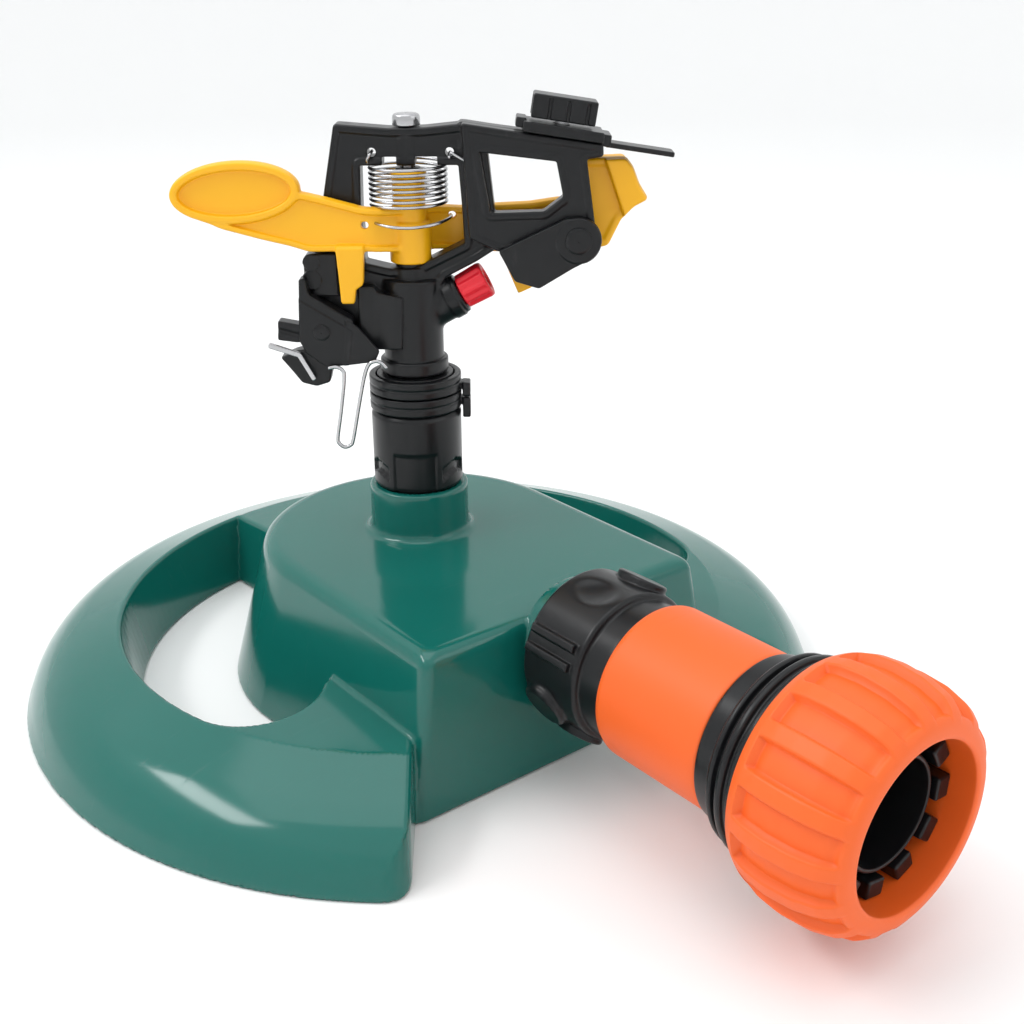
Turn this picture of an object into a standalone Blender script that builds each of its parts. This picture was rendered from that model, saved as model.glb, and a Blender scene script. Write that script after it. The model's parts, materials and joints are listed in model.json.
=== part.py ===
"""Impact sprinkler on a ring base with a hose inlet, built as an assembly of separate sub-parts.

Blender 4.5, metres, +Z up.  The sprinkler stands on Z = 0 and the hose joins it from -Y.
Lengths below are in millimetres and are multiplied by mm when they become geometry.
The spindle is the vertical axis that the head turns on; spindleY puts the origin at the
centre of the object's footprint.
"""
import math

import bmesh
import bpy
from mathutils import Matrix, Vector

mm = 0.001

# Ring base
ringRadius = 100.0
ringCrown = 20.0
openingRadius = 75.7
openingDraft = 3.7
gapHalfAngle = 36.6
wallThickness = 2.0
housingHeight = 37.1
housingHalfWidth = 38.9
housingFront = 57.6
bossRadius = 12.1
bossTop = 49.4

# Hose connector, measured along -Y from the spindle
inletHeight = 30.0
stubEnd = 74.0
nutMouth = 150.0

# Head, turned about the spindle; its own x axis points where the jet goes
headAngle = -38.4
jetAngle = 28.5
jetRootHeight = 90.3
pivotTop = 137.4
tripX = -20.6
tripHeight = 89.4

spindleY = (nutMouth - ringRadius) / 2
fitGap = 0.3


def clearScene():
    for old in list(bpy.data.objects):
        bpy.data.objects.remove(old, do_unlink=True)


clearScene()
partsCollection = bpy.data.collections.new("sprinkler")
cutterCollection = bpy.data.collections.new("cutters")
bpy.context.scene.collection.children.link(partsCollection)
bpy.context.scene.collection.children.link(cutterCollection)


def plastic(name, color, roughness, metallic=0.0):
    material = bpy.data.materials.new(name)
    material.use_nodes = True
    shader = material.node_tree.nodes["Principled BSDF"]
    shader.inputs["Base Color"].default_value = (*color, 1.0)
    shader.inputs["Roughness"].default_value = roughness
    shader.inputs["Metallic"].default_value = metallic
    return material


greenPlastic = plastic("green_plastic", (0.01, 0.13, 0.10), 0.22)
blackPlastic = plastic("black_plastic", (0.016, 0.017, 0.018), 0.4)
yellowPlastic = plastic("yellow_plastic", (0.95, 0.48, 0.03), 0.42)
orangePlastic = plastic("orange_plastic", (0.92, 0.16, 0.03), 0.5)
redPlastic = plastic("red_plastic", (0.75, 0.02, 0.04), 0.4)
rubber = plastic("seal_rubber", (0.02, 0.02, 0.02), 0.8)
steel = plastic("spring_steel", (0.6, 0.6, 0.6), 0.25, 1.0)


def addEmpty(name, parent=None, location=(0, 0, 0), rotation=(0, 0, 0)):
    empty = bpy.data.objects.new(name, None)
    partsCollection.objects.link(empty)
    empty.parent = parent
    empty.location = Vector(location) * mm
    empty.rotation_euler = [math.radians(angle) for angle in rotation]
    return empty


origin = addEmpty("spindle_axis", location=(0, spindleY, 0))
inletAxis = addEmpty("inlet_axis", origin, (0, 0, inletHeight), (90, 0, 0))
head = addEmpty("head_axis", origin, rotation=(0, 0, headAngle))
jetAxis = addEmpty("jet_axis", head, (0, 0, jetRootHeight), (0, 90 - jetAngle, 0))
knobAxis = addEmpty("knob_axis", head, (34.4, -1.8, 132.3), (0, 8.7, 0))


def addMesh(name, build, parent=origin, location=(0, 0, 0), rotation=(0, 0, 0)):
    """Run build on a new bmesh, in millimetres, and make an object of the result."""
    form = bmesh.new()
    build(form)
    bmesh.ops.scale(form, vec=(mm, mm, mm), verts=form.verts)
    mesh = bpy.data.meshes.new(name)
    form.to_mesh(mesh)
    form.free()
    part = bpy.data.objects.new(name, mesh)
    partsCollection.objects.link(part)
    part.parent = parent
    part.location = Vector(location) * mm
    part.rotation_euler = [math.radians(angle) for angle in rotation]
    return part


def turned(name, profile, parent=origin, location=(0, 0, 0), rotation=(0, 0, 0), steps=24):
    """Turn a closed (radius, height) profile that runs down its outer side."""
    def build(form):
        verts = [form.verts.new((radius, 0, height)) for radius, height in profile]
        for first, second in zip(verts, verts[1:] + verts[:1]):
            if first.co.x > 0 or second.co.x > 0:
                form.edges.new((first, second))
    part = addMesh(name, build, parent, location, rotation)
    screw = part.modifiers.new("turn", "SCREW")
    screw.steps = steps
    screw.render_steps = steps
    screw.use_merge_vertices = True
    screw.merge_threshold = 0.00001
    return part


def ring(name, inner, outer, low, high, parent=origin, **place):
    return turned(name, [(outer, high), (outer, low), (inner, low), (inner, high)], parent, **place)


def lofted(name, sections, parent=origin, location=(0, 0, 0), rotation=(0, 0, 0)):
    """Join closed sections with the same number of points, counter-clockwise, bottom to top."""
    def build(form):
        rows = [[form.verts.new(point) for point in section] for section in sections]
        for lower, upper in zip(rows, rows[1:]):
            for index in range(len(lower)):
                after = (index + 1) % len(lower)
                form.faces.new((lower[index], lower[after], upper[after], upper[index]))
        form.faces.new(list(reversed(rows[0])))
        form.faces.new(rows[-1])
    return addMesh(name, build, parent, location, rotation)


def standing(outline, height):
    return [(x, y, height) for x, y in outline]


def plate(name, outline, near, far, parent=head, holes=()):
    """A flat outline in x and z, filled, from y = near to y = far, with any holes."""
    curve = bpy.data.curves.new(name, "CURVE")
    curve.dimensions = "2D"
    curve.fill_mode = "BOTH"
    curve.extrude = (far - near) / 2 * mm
    for loop in (outline, *holes):
        spline = curve.splines.new("POLY")
        spline.points.add(len(loop) - 1)
        spline.use_cyclic_u = True
        for point, (x, z) in zip(spline.points, loop):
            point.co = (x * mm, z * mm, 0, 1)
    guide = bpy.data.objects.new(name + "_outline", curve)
    bpy.context.scene.collection.objects.link(guide)
    bpy.context.view_layer.update()
    evaluated = guide.evaluated_get(bpy.context.evaluated_depsgraph_get())
    mesh = bpy.data.meshes.new_from_object(evaluated)
    mesh.name = name
    bpy.data.objects.remove(guide)
    form = bmesh.new()
    form.from_mesh(mesh)
    bmesh.ops.remove_doubles(form, verts=form.verts, dist=0.000001)
    upright = Matrix.Translation((0, (near + far) / 2 * mm, 0)) @ Matrix.Rotation(math.radians(90), 4, "X")
    bmesh.ops.transform(form, matrix=upright, verts=form.verts)
    form.to_mesh(mesh)
    form.free()
    part = bpy.data.objects.new(name, mesh)
    partsCollection.objects.link(part)
    part.parent = parent
    return part


def box(name, low, high, parent=head, rotation=(0, 0, 0), location=(0, 0, 0)):
    def build(form):
        bmesh.ops.create_cube(form, size=1.0)
        size = Vector(high) - Vector(low)
        bmesh.ops.scale(form, vec=size, verts=form.verts)
        bmesh.ops.translate(form, vec=(Vector(high) + Vector(low)) / 2, verts=form.verts)
    return addMesh(name, build, parent, location, rotation)


def rod(name, radius, low, high, parent=origin, location=(0, 0, 0), rotation=(0, 0, 0), segments=24):
    def build(form):
        bmesh.ops.create_cone(form, cap_ends=True, segments=segments, radius1=radius,
                              radius2=radius, depth=high - low)
        bmesh.ops.translate(form, vec=(0, 0, (low + high) / 2), verts=form.verts)
    return addMesh(name, build, parent, location, rotation)


def wire(name, points, radius, parent=origin, location=(0, 0, 0), rotation=(0, 0, 0)):
    """A round wire along points, as a bevelled poly curve with filled caps."""
    curve = bpy.data.curves.new(name, "CURVE")
    curve.dimensions = "3D"
    curve.bevel_depth = radius * mm
    curve.bevel_resolution = 2
    curve.use_fill_caps = True
    spline = curve.splines.new("POLY")
    spline.points.add(len(points) - 1)
    for point, place in zip(spline.points, points):
        point.co = (*(Vector(place) * mm), 1)
    part = bpy.data.objects.new(name, curve)
    partsCollection.objects.link(part)
    part.parent = parent
    part.location = Vector(location) * mm
    part.rotation_euler = [math.radians(angle) for angle in rotation]
    return part


def coil(name, coilRadius, wireRadius, low, high, turns, parent=origin, pointsPerTurn=9):
    count = round(turns * pointsPerTurn)
    points = []
    for step in range(count + 1):
        angle = 2 * math.pi * step / pointsPerTurn
        height = low + (high - low) * step / count
        points.append((coilRadius * math.cos(angle), coilRadius * math.sin(angle), height))
    return wire(name, points, wireRadius, parent)


def combine(part, tool, operation, solver="EXACT"):
    """Boolean part with tool, which becomes a hidden cutter."""
    modifier = part.modifiers.new(operation.lower() + "_" + tool.name, "BOOLEAN")
    modifier.operation = operation
    modifier.object = tool
    modifier.solver = solver
    partsCollection.objects.unlink(tool)
    cutterCollection.objects.link(tool)
    tool.display_type = "WIRE"
    tool.hide_render = True


def join(part, *tools, solver="EXACT"):
    for tool in tools:
        combine(part, tool, "UNION", solver)


def cut(part, *tools, solver="EXACT"):
    for tool in tools:
        combine(part, tool, "DIFFERENCE", solver)


def finish(part, material):
    part.data.materials.append(material)
    if part.type == "MESH":
        part.data.shade_smooth()
        part.data.set_sharp_from_angle(angle=math.radians(35))
    return part


def arc(centre, radius, start, end, count):
    """Points on a circle from the start angle to the end angle, in degrees."""
    points = []
    for step in range(count + 1):
        angle = math.radians(start + (end - start) * step / count)
        points.append((centre[0] + radius * math.cos(angle), centre[1] + radius * math.sin(angle)))
    return points


# ---------------------------------------------------------------- ring base

def ringProfile(wall):
    """Section of the ring: steep skirt, round shoulder, gently rising top; wall insets it."""
    shoulder = arc((91.0, 7.6), 6.4 - wall, 0, 80, 5)
    shoulder.reverse()
    low = -3.0 - wall
    return [(30.0, ringCrown + 0.6 - wall), (openingRadius, 18.6 - wall),
            (85.0, 16.0 - wall)] + shoulder + [(ringRadius - wall, 0.0), (ringRadius - wall, low),
                                               (30.0, low)]


def openingOutline(inset, side):
    """Plan of one kidney opening: an arc about the spindle with a round front end."""
    outer = openingRadius - inset
    endRadius = 15.5 - inset
    points = arc((0, 0), outer, 101 + inset * 0.7, 194, 14)
    points += arc((-57.8, -16.8), endRadius, 197, 322, 9)
    points += [(-30.0, -20.0 + inset), (-22.0, 20.0), (-16.0 - inset, 40.0)]
    if side > 0:
        points = [(-x, y) for x, y in reversed(points)]
    return points


def openingCutter(name, side, wall):
    """The opening narrows towards the ground by the mould's draft."""
    low = standing(openingOutline(openingDraft * 1.4 - wall, side), -7.0)
    high = standing(openingOutline(-openingDraft * 0.3 - wall, side), 25.0)
    return lofted(name, [low, high])


def gapCutter(name, wall):
    """The front gap of the ring, with the ring's outer corners rounded."""
    corner = 8.0
    shift = math.degrees(wall / ringRadius)
    start = -90 - gapHalfAngle - shift
    cornerShift = math.degrees(corner / (ringRadius - corner))
    centreAngle = start - cornerShift
    centre = ((ringRadius - corner) * math.cos(math.radians(centreAngle)),
              (ringRadius - corner) * math.sin(math.radians(centreAngle)))
    rounding = arc(centre, corner + wall * 0.2, centreAngle + 86, centreAngle - 8, 6)
    left = [(0.0, -10.0)] + rounding
    left.append((1.2 * ringRadius * math.cos(math.radians(centreAngle)),
                 1.2 * ringRadius * math.sin(math.radians(centreAngle))))
    outline = left + [(0.0, -1.6 * ringRadius)] + [(-x, y) for x, y in reversed(left[1:])]
    return lofted(name, [standing(outline, -8.0), standing(outline, 30.0)])


def housingOutline(backRadius, halfWidth, front, corner=2.5):
    """Plan of the housing: round back about the spindle, flat sides, flat front."""
    rightCorner = arc((halfWidth - corner, -front + corner), corner, -90, 0, 3)
    back = arc((0, 0), backRadius, 0, 180, 16)
    leftCorner = arc((-halfWidth + corner, -front + corner), corner, 180, 270, 3)
    return rightCorner + back + leftCorner


def housingBody(name, wall):
    top = housingHeight - wall
    low = -4.0 - wall
    side = housingHalfWidth - wall
    front = housingFront - wall
    sections = [standing(housingOutline(side + 10.1, side + 6.1, front + 3.4), low),
                standing(housingOutline(side + 4.2, side + 2.6, front + 1.5), 18.0),
                standing(housingOutline(side + 0.2, side + 0.2, front + 0.2), top - 2.0),
                standing(housingOutline(side - 0.7, side - 0.7, front - 0.7), top - 0.6),
                standing(housingOutline(side - 2.2, side - 2.2, front - 2.2), top)]
    return lofted(name, sections)


def makeBaseShell():
    shell = turned("base_shell", ringProfile(0), steps=60)
    cut(shell, openingCutter("left_opening", -1, 0), openingCutter("right_opening", 1, 0),
        gapCutter("front_gap", 0), solver="MANIFOLD")
    boss = turned("boss", [(11.3, bossTop), (bossRadius, bossTop - 0.8), (bossRadius, 39.4),
                           (12.7, 37.9), (14.2, 37.0), (14.2, 33.0), (0.0, 33.0), (0.0, bossTop)])
    inletHood = turned("inlet_hood", [(13.0, stubEnd), (13.0, 52.0), (11.0, 48.5), (6.0, 46.5),
                                      (0.0, 46.5), (0.0, stubEnd)], inletAxis)
    join(shell, housingBody("housing", 0), boss, inletHood, solver="MANIFOLD")
    ringHollow = turned("ring_hollow", ringProfile(wallThickness), steps=60)
    cut(ringHollow, openingCutter("left_inner", -1, wallThickness),
        openingCutter("right_inner", 1, wallThickness), gapCutter("gap_inner", wallThickness),
        solver="MANIFOLD")
    cut(shell, ringHollow, housingBody("housing_hollow", wallThickness), solver="MANIFOLD")
    cut(shell, rod("riser_bore", 9.6, 30, 55), rod("inlet_bore", 5.2, 53, 80, inletAxis),
        box("ground", (-120, -120, -20), (120, 120, 0), origin), solver="MANIFOLD")
    finish(shell, greenPlastic)


def makeWaterway():
    elbow = rod("water_elbow", 9.2, 22, 34.7)
    join(elbow, rod("elbow_pipe", 4.8, 0, 73.4, inletAxis, segments=24))
    cut(elbow, rod("elbow_well", 7.0, 24.2, 36), rod("pipe_bore", 3.4, 1, 75, inletAxis, segments=24))
    finish(elbow, blackPlastic)
    finish(ring("riser_seal", 6.2, 9.2, 35.0, 36.1), rubber)


# ---------------------------------------------------------------- swivel bearing

def makeSwivel():
    sleeve = turned("bearing_sleeve", [(9.2, 77.5), (9.2, 69.0), (10.3, 68.7), (10.9, 68.2),
                                       (10.9, 49.8), (9.3, 49.8), (9.3, 39.5), (7.2, 39.5),
                                       (7.2, 51.0), (9.3, 51.0), (9.3, 66.9), (7.2, 66.9),
                                       (7.2, 77.5)])
    finish(sleeve, blackPlastic)
    stem = turned("swivel_stem", [(5.6, 84.0), (5.6, 77.6), (6.9, 77.6), (6.9, 37.9), (9.1, 37.9),
                                  (9.1, 36.4), (4.4, 36.4), (4.4, 84.0)])
    finish(stem, blackPlastic)
    finish(ring("swivel_washer", 7.1, 9.1, 38.2, 39.2), rubber)
    finish(ring("bearing_washer", 7.1, 9.1, 65.6, 66.6), rubber)
    finish(coil("bearing_spring", 8.1, 0.45, 51.8, 64.9, 5), steel)


def makeCollar(name, low, tabLow, tabHigh):
    """A friction collar with one stop tab that hangs beside it."""
    collar = ring(name, 9.5, 11.1, low, low + 4.0)
    arm = box(name + "_tab", (10.4, -1.9, low + 0.6), (12.4, 1.9, low + 3.2), origin,
              (0, 0, headAngle))
    stop = box(name + "_stop", (11.4, -2.2, tabLow), (13.3, 2.2, tabHigh), origin,
               (0, 0, headAngle))
    join(collar, arm, stop)
    finish(collar, blackPlastic)


# ---------------------------------------------------------------- head

def makeHeadFrame():
    """One moulding: bridge with two windows, body tube, jet barrel and the right-hand frame."""
    bridge = [(-15.8, 135.4), (13.2, 135.8), (17.5, 134.9), (20.0, 115.0), (20.3, 107.4),
              (15.4, 104.6), (8.0, 100.7), (4.0, 92.0), (-7.0, 90.0), (-12.0, 85.6), (-23.6, 85.6),
              (-26.3, 100.0), (-24.6, 102.4), (-24.9, 105.2), (-21.6, 107.6), (-19.2, 118.8)]
    springWindow = [(-10.4, 126.2), (11.6, 126.2), (12.3, 116.4), (12.7, 108.8), (5.2, 102.6),
                    (-5.2, 102.6), (-10.6, 104.2), (-10.8, 116.5)]
    frame = plate("head_frame", bridge, -3.6, 3.6)
    jetFrame = [(14.2, 134.6), (24.0, 133.2), (43.4, 130.4), (43.5, 128.9), (40.4, 127.6),
                (42.3, 113.2)]
    jetFrame += arc((38.8, 109.6), 5.2, 20, -120, 6)
    jetFrame += [(30.0, 106.8), (19.3, 108.2), (14.2, 109.8)]
    jetWindow = [(16.4, 129.8), (33.5, 127.6), (35.1, 120.2), (30.6, 116.8), (18.7, 116.4)]
    topBar = [(11.9, 135.5), (24.2, 133.9), (43.8, 130.9), (43.9, 128.4), (34.0, 127.9),
              (16.6, 130.1), (12.1, 130.4)]
    join(frame, plate("jet_frame", jetFrame, -7.0, -2.9, holes=(jetWindow,)),
         plate("top_bar", topBar, -3.2, 3.4), solver="MANIFOLD")
    cut(frame, plate("spring_window", springWindow, -6.0, 6.0), solver="MANIFOLD")
    boss = rod("pivot_boss", 3.3, 125.8, 134.9, head, segments=24)
    tube = turned("body_tube", [(4.6, 103.1), (4.6, 101.3), (7.1, 100.2), (7.1, 81.5), (8.1, 81.2),
                                (8.1, 77.9), (0.0, 77.9), (0.0, 103.1)], head, steps=36)
    barrel = rod("jet_barrel", 4.7, 0, 12.0, jetAxis, segments=28)
    catchOutline = [(-12.2, -2.0), (-12.2, -4.6), (-10.4, -6.2), (-2.6, -6.2), (-2.6, -2.6)]
    catch = lofted("trip_catch", [standing(catchOutline, 84.6), standing(catchOutline, 98.7)], head)
    join(frame, boss, tube, barrel, catch, solver="MANIFOLD")
    cut(frame, rod("stem_bore", 5.9, 77, 84.4, head, segments=28),
        rod("body_bore", 4.2, 84, 92, head, segments=24),
        rod("barrel_bore", 3.2, 1, 20, jetAxis, segments=24),
        rod("pin_bore", 1.8, 95, 140, head, segments=20),
        rod("screw_bore", 1.9, -8, 4, knobAxis, segments=20),
        rod("guard_pin_bore", 2.15, 4, 9, head, (38.6, 0, 110.2), (90, 0, 0), 16),
        rod("trip_bore", 1.25, -2, 6, head, (tripX, 0, tripHeight), (90, 0, 0), 16),
        box("left_slot", (-5.5, -5.0, 127.1), (-2.6, 5.0, 128.1)),
        box("right_slot", (2.4, -5.0, 127.2), (6.9, 5.0, 128.2)), solver="MANIFOLD")
    finish(frame, blackPlastic)


def makeJetParts():
    nozzle = turned("jet_nozzle", [(4.0, 20.1), (4.3, 19.6), (4.3, 12.3), (2.9, 12.3), (2.9, 7.5),
                                   (1.9, 7.5), (1.3, 20.1)], jetAxis, steps=28)
    finish(nozzle, redPlastic)
    straightener = plate("jet_straightener", [(-2.7, 2.6), (-2.7, 6.9), (2.7, 6.9), (2.7, 2.6)],
                         -0.4, 0.4, jetAxis)
    cross = box("straightener_cross", (-0.4, -2.7, 2.8), (0.4, 2.7, 6.7), jetAxis)
    join(straightener, cross)
    finish(straightener, blackPlastic)


def makePivot():
    pin = turned("pivot_pin", [(2.4, pivotTop), (3.1, pivotTop - 0.6), (3.1, 136.1), (1.5, 136.1),
                               (1.5, 96.5), (0.0, 96.5), (0.0, pivotTop)], head, steps=28)
    finish(pin, steel)
    finish(ring("arm_washer", 1.8, 3.6, 103.2, 103.8, head, steps=24), blackPlastic)
    finish(ring("pivot_washer", 1.8, 2.9, 125.0, 125.5, head, steps=24), blackPlastic)


# ---------------------------------------------------------------- rocker arm

def makeRockerArm():
    """Hub and spool on the pin, weighted oval tail in front, jet scoop behind."""
    hub = rod("rocker_arm", 4.7, 104.1, 113.3, head, segments=28)
    spool = rod("spool", 3.8, 112.0, 124.7, head, segments=28)
    crossing = [(-13.5, -8.0), (-9.0, -7.4), (1.0, -1.8), (10.4, 4.3), (13.5, 4.4)]
    crossing += [(-x, -y) for x, y in crossing]
    bar = lofted("arm_crossing", [standing(crossing, 106.9), standing(crossing, 116.6)], head)
    tailOutline = [(-12.0, 107.9), (-12.0, 117.9), (-18.3, 119.8), (-24.5, 121.2)]
    tailOutline += arc((-38.4, 121.0), 14.6, 20, 180, 8)
    tailOutline = [(x, z) if x > -24.6 else (x, 121.0 + (z - 121.0) * 0.48) for x, z in tailOutline]
    tailOutline += [(-50.8, 116.8), (-42.1, 113.2), (-32.9, 110.5), (-24.0, 108.0)]
    tail = plate("arm_tail", tailOutline, -8.2, -4.2)
    foot = plate("arm_foot", [(-9.8, 108.5), (-16.2, 108.5), (-15.5, 96.2), (-13.1, 96.2),
                              (-12.4, 99.6), (-11.6, 101.0)], -9.6, -6.7)
    reach = plate("arm_reach", [(11.5, 106.0), (11.5, 115.8), (38.0, 116.6), (44.0, 114.0),
                                (44.0, 107.0), (30.0, 103.0), (20.0, 105.6)], 4.4, 7.6)
    scoopOutline = [(43.4, 126.9), (49.4, 127.3), (51.0, 125.2), (52.6, 121.4), (54.8, 118.0),
                    (51.4, 116.4), (48.7, 113.6), (45.6, 107.5), (43.4, 107.2)]
    scoop = plate("arm_scoop", scoopOutline, -2.2, 7.3)
    wedge = plate("arm_wedge", [(20.6, 106.2), (25.0, 95.6), (28.4, 97.0), (32.0, 103.6),
                                (28.0, 106.4)], 2.9, 7.1)
    join(hub, bar, spool, tail, foot, reach, scoop, wedge)
    cut(hub, rod("arm_bore", 1.8, 100, 130, head, segments=20))
    finish(hub, yellowPlastic)
    finish(coil("arm_spring", 8.7, 0.38, 117.4, 125.6, 7, head), steel)


# ---------------------------------------------------------------- reversing trip

def makeTrip():
    leverOutline = [(-25.3, 101.0), (-25.9, 88.0), (-24.6, 84.6), (-19.6, 80.4), (-14.4, 82.2),
                    (-13.2, 91.6), (-14.7, 92.8), (-16.8, 96.6), (-19.5, 98.2)]
    lever = plate("trip_lever", leverOutline, -9.0, -4.1)
    cut(lever, rod("lever_bore", 1.25, -2, 14, head, (tripX, 0, tripHeight), (90, 0, 0), 16))
    finish(lever, blackPlastic)
    pin = turned("trip_pin", [(1.9, 9.9), (2.1, 9.4), (1.2, 9.4), (1.2, -1.5), (0.0, -1.5),
                              (0.0, 9.9)], head, (tripX, 0, tripHeight), (90, 0, 0), 16)
    finish(pin, steel)
    blockOutline = [(-31.0, 87.6), (-30.7, 92.0), (-26.6, 91.2), (-26.2, 86.4)]
    finish(plate("trip_spring_seat", blockOutline, -8.6, -4.6), blackPlastic)
    clip = [(-33.0, 86.7), (-26.2, 84.4), (-23.3, 78.4), (-22.9, 78.6), (-25.8, 84.8), (-32.8, 87.3)]
    finish(plate("trip_clip", clip, -10.6, -9.3), steel)
    footOutline = [(-30.7, 83.3), (-27.8, 79.7), (-23.3, 76.4), (-19.4, 77.4), (-18.8, 79.6),
                   (-20.4, 80.0), (-24.9, 83.8), (-26.8, 84.2)]
    finish(plate("trip_cam", footOutline, -8.8, -4.4), blackPlastic)
    loop = [(-17.9, -9.9, 81.6), (-16.4, -9.9, 80.6), (-15.9, -9.9, 79.0), (-18.2, -9.9, 64.2)]
    loop += [(x, -9.9, z) for x, z in arc((-16.6, 63.4), 1.75, 175, 345, 6)]
    loop += [(-11.4, -9.9, 78.4), (-10.8, -9.9, 80.6), (-9.6, -9.9, 82.0)]
    finish(wire("trip_wire", loop, 0.55, head), steel)


# ---------------------------------------------------------------- range knob and jet guard

def makeRangeParts():
    knob = turned("range_knob", [(6.9, 9.9), (7.3, 9.4), (7.3, 3.2), (1.9, 3.2), (1.9, 7.0),
                                 (0.0, 7.0), (0.0, 9.9)], knobAxis, steps=28)
    finish(knob, blackPlastic)
    seat = box("deflector_flap", (-10.2, -6.4, 0.5), (12.9, 6.4, 2.9), knobAxis)
    flap = box("flap_blade", (12.0, -5.2, -1.0), (26.4, 5.2, 0.9), knobAxis)
    join(seat, flap)
    cut(seat, rod("flap_bore", 1.9, -2, 5, knobAxis, segments=20))
    finish(seat, blackPlastic)
    finish(rod("knob_screw", 1.6, -3.2, 6.7, knobAxis, segments=20), steel)


def makeJetGuard():
    guardOutline = [(20.5, 108.2), (22.3, 101.9), (29.4, 99.5), (38.2, 104.0)]
    guardOutline += arc((38.6, 110.2), 5.3, -75, 60, 8)
    guardOutline += [(36.0, 115.0), (30.0, 112.0)]
    guard = plate("jet_guard", guardOutline, -9.4, -7.4)
    cut(guard, rod("guard_bore", 1.9, -12, 0, head, (38.6, 0, 110.2), (-90, 0, 0), 16))
    finish(guard, blackPlastic)
    pin = turned("guard_pin", [(2.2, 10.9), (3.1, 10.3), (3.1, 9.7), (1.85, 9.7), (1.85, 5.0), (0.0, 5.0),
                               (0.0, 10.9)], head, (38.6, 0, 110.2), (90, 0, 0), 20)
    finish(pin, blackPlastic)


# ---------------------------------------------------------------- hose connector

def makeConnector():
    finish(ring("inlet_washer", 5.4, 12.8, 74.3, 75.7, inletAxis), rubber)
    adaptor = turned("tap_adaptor", [(7.2, 108.0), (7.9, 107.3), (7.9, 105.4), (6.9, 105.4),
                                     (6.9, 103.0), (7.9, 103.0), (7.9, 84.2), (15.7, 84.2),
                                     (15.9, 80.2), (17.2, 79.4), (18.3, 77.0), (18.4, 68.0),
                                     (17.2, 64.2), (14.8, 61.7), (13.3, 61.7), (13.3, 76.0),
                                     (4.6, 76.0), (4.6, 108.0)], inletAxis, steps=28)
    finish(adaptor, blackPlastic)
    oRing = turned("nipple_o_ring", [(7.85 + 0.7 * math.cos(a), 104.2 - 0.7 * math.sin(a))
                                     for a in [math.pi * k / 3 for k in range(6)]], inletAxis)
    finish(oRing, rubber)
    body = turned("connector_body", [(9.3, 146.0), (9.3, 124.0), (14.2, 124.0), (14.2, 134.0),
                                     (16.5, 134.0), (16.5, 122.1), (20.6, 121.9), (20.6, 119.0),
                                     (19.4, 118.7), (19.4, 116.3), (17.5, 116.0), (17.5, 113.1),
                                     (11.6, 113.1), (11.6, 86.5), (8.7, 86.5), (8.7, 109.0),
                                     (7.4, 109.0), (7.4, 146.0)], inletAxis, steps=28)
    finish(body, blackPlastic)
    sleeve = turned("release_sleeve", [(17.2, 112.7), (17.2, 88.0), (16.9, 84.9), (16.1, 84.9),
                                       (16.1, 90.0), (13.6, 91.0), (13.6, 112.7)], inletAxis, steps=28)
    finish(sleeve, orangePlastic)
    finish(ring("latch_ring", 11.9, 13.3, 92.0, 95.4, inletAxis), blackPlastic)
    finish(coil("sleeve_spring", 12.6, 0.4, 96.4, 111.6, 4, inletAxis, 12), steel)
    makeCollet()
    nut = turned("hose_nut", [(17.2, nutMouth), (19.6, 149.5), (22.2, 147.9), (23.7, 145.4),
                              (24.2, 142.0), (24.0, 132.0), (23.1, 127.0), (21.9, 124.4),
                              (21.0, 122.5), (16.9, 122.5), (16.9, 149.4)], inletAxis, steps=32)
    finish(nut, orangePlastic)


def makeCollet():
    """Ring of square claws round the hose tail that the nut squeezes on the hose."""
    claws = 8
    collet = ring("grip_collet", 12.6, 16.4, 134.6, 137.4, inletAxis)
    for number in range(claws):
        claw = box("claw_%02d" % number, (12.9, -2.1, 136.6), (16.4, 2.1, 144.6), inletAxis,
                   (0, 0, 360 * number / claws + 9))
        join(collet, claw)
    finish(collet, blackPlastic)


makeBaseShell()
makeWaterway()
makeSwivel()
makeCollar("friction_collar_lower", 69.0, 66.0, 70.3)
makeCollar("friction_collar_upper", 73.3, 72.7, 75.4)
makeHeadFrame()
makeJetParts()
makePivot()
makeRockerArm()
makeTrip()
makeRangeParts()
makeJetGuard()
makeConnector()
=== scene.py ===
import json
import math

import bpy
import numpy as np
from mathutils import Matrix, Vector


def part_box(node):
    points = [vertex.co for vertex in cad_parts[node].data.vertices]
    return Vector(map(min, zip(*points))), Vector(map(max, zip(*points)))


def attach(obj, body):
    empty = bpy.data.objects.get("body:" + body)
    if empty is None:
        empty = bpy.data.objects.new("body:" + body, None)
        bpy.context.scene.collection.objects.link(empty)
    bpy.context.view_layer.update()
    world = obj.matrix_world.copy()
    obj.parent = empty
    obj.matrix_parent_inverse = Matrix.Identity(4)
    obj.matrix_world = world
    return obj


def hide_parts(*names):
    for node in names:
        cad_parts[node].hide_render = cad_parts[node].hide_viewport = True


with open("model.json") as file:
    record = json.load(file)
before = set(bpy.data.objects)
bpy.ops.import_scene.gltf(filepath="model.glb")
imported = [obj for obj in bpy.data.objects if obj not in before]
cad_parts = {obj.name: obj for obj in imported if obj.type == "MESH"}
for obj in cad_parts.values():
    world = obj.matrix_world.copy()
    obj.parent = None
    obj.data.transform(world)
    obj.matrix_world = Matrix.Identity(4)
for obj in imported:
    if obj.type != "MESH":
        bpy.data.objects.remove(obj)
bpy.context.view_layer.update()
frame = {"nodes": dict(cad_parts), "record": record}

mm = 0.001
nodes = frame["nodes"]

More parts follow.
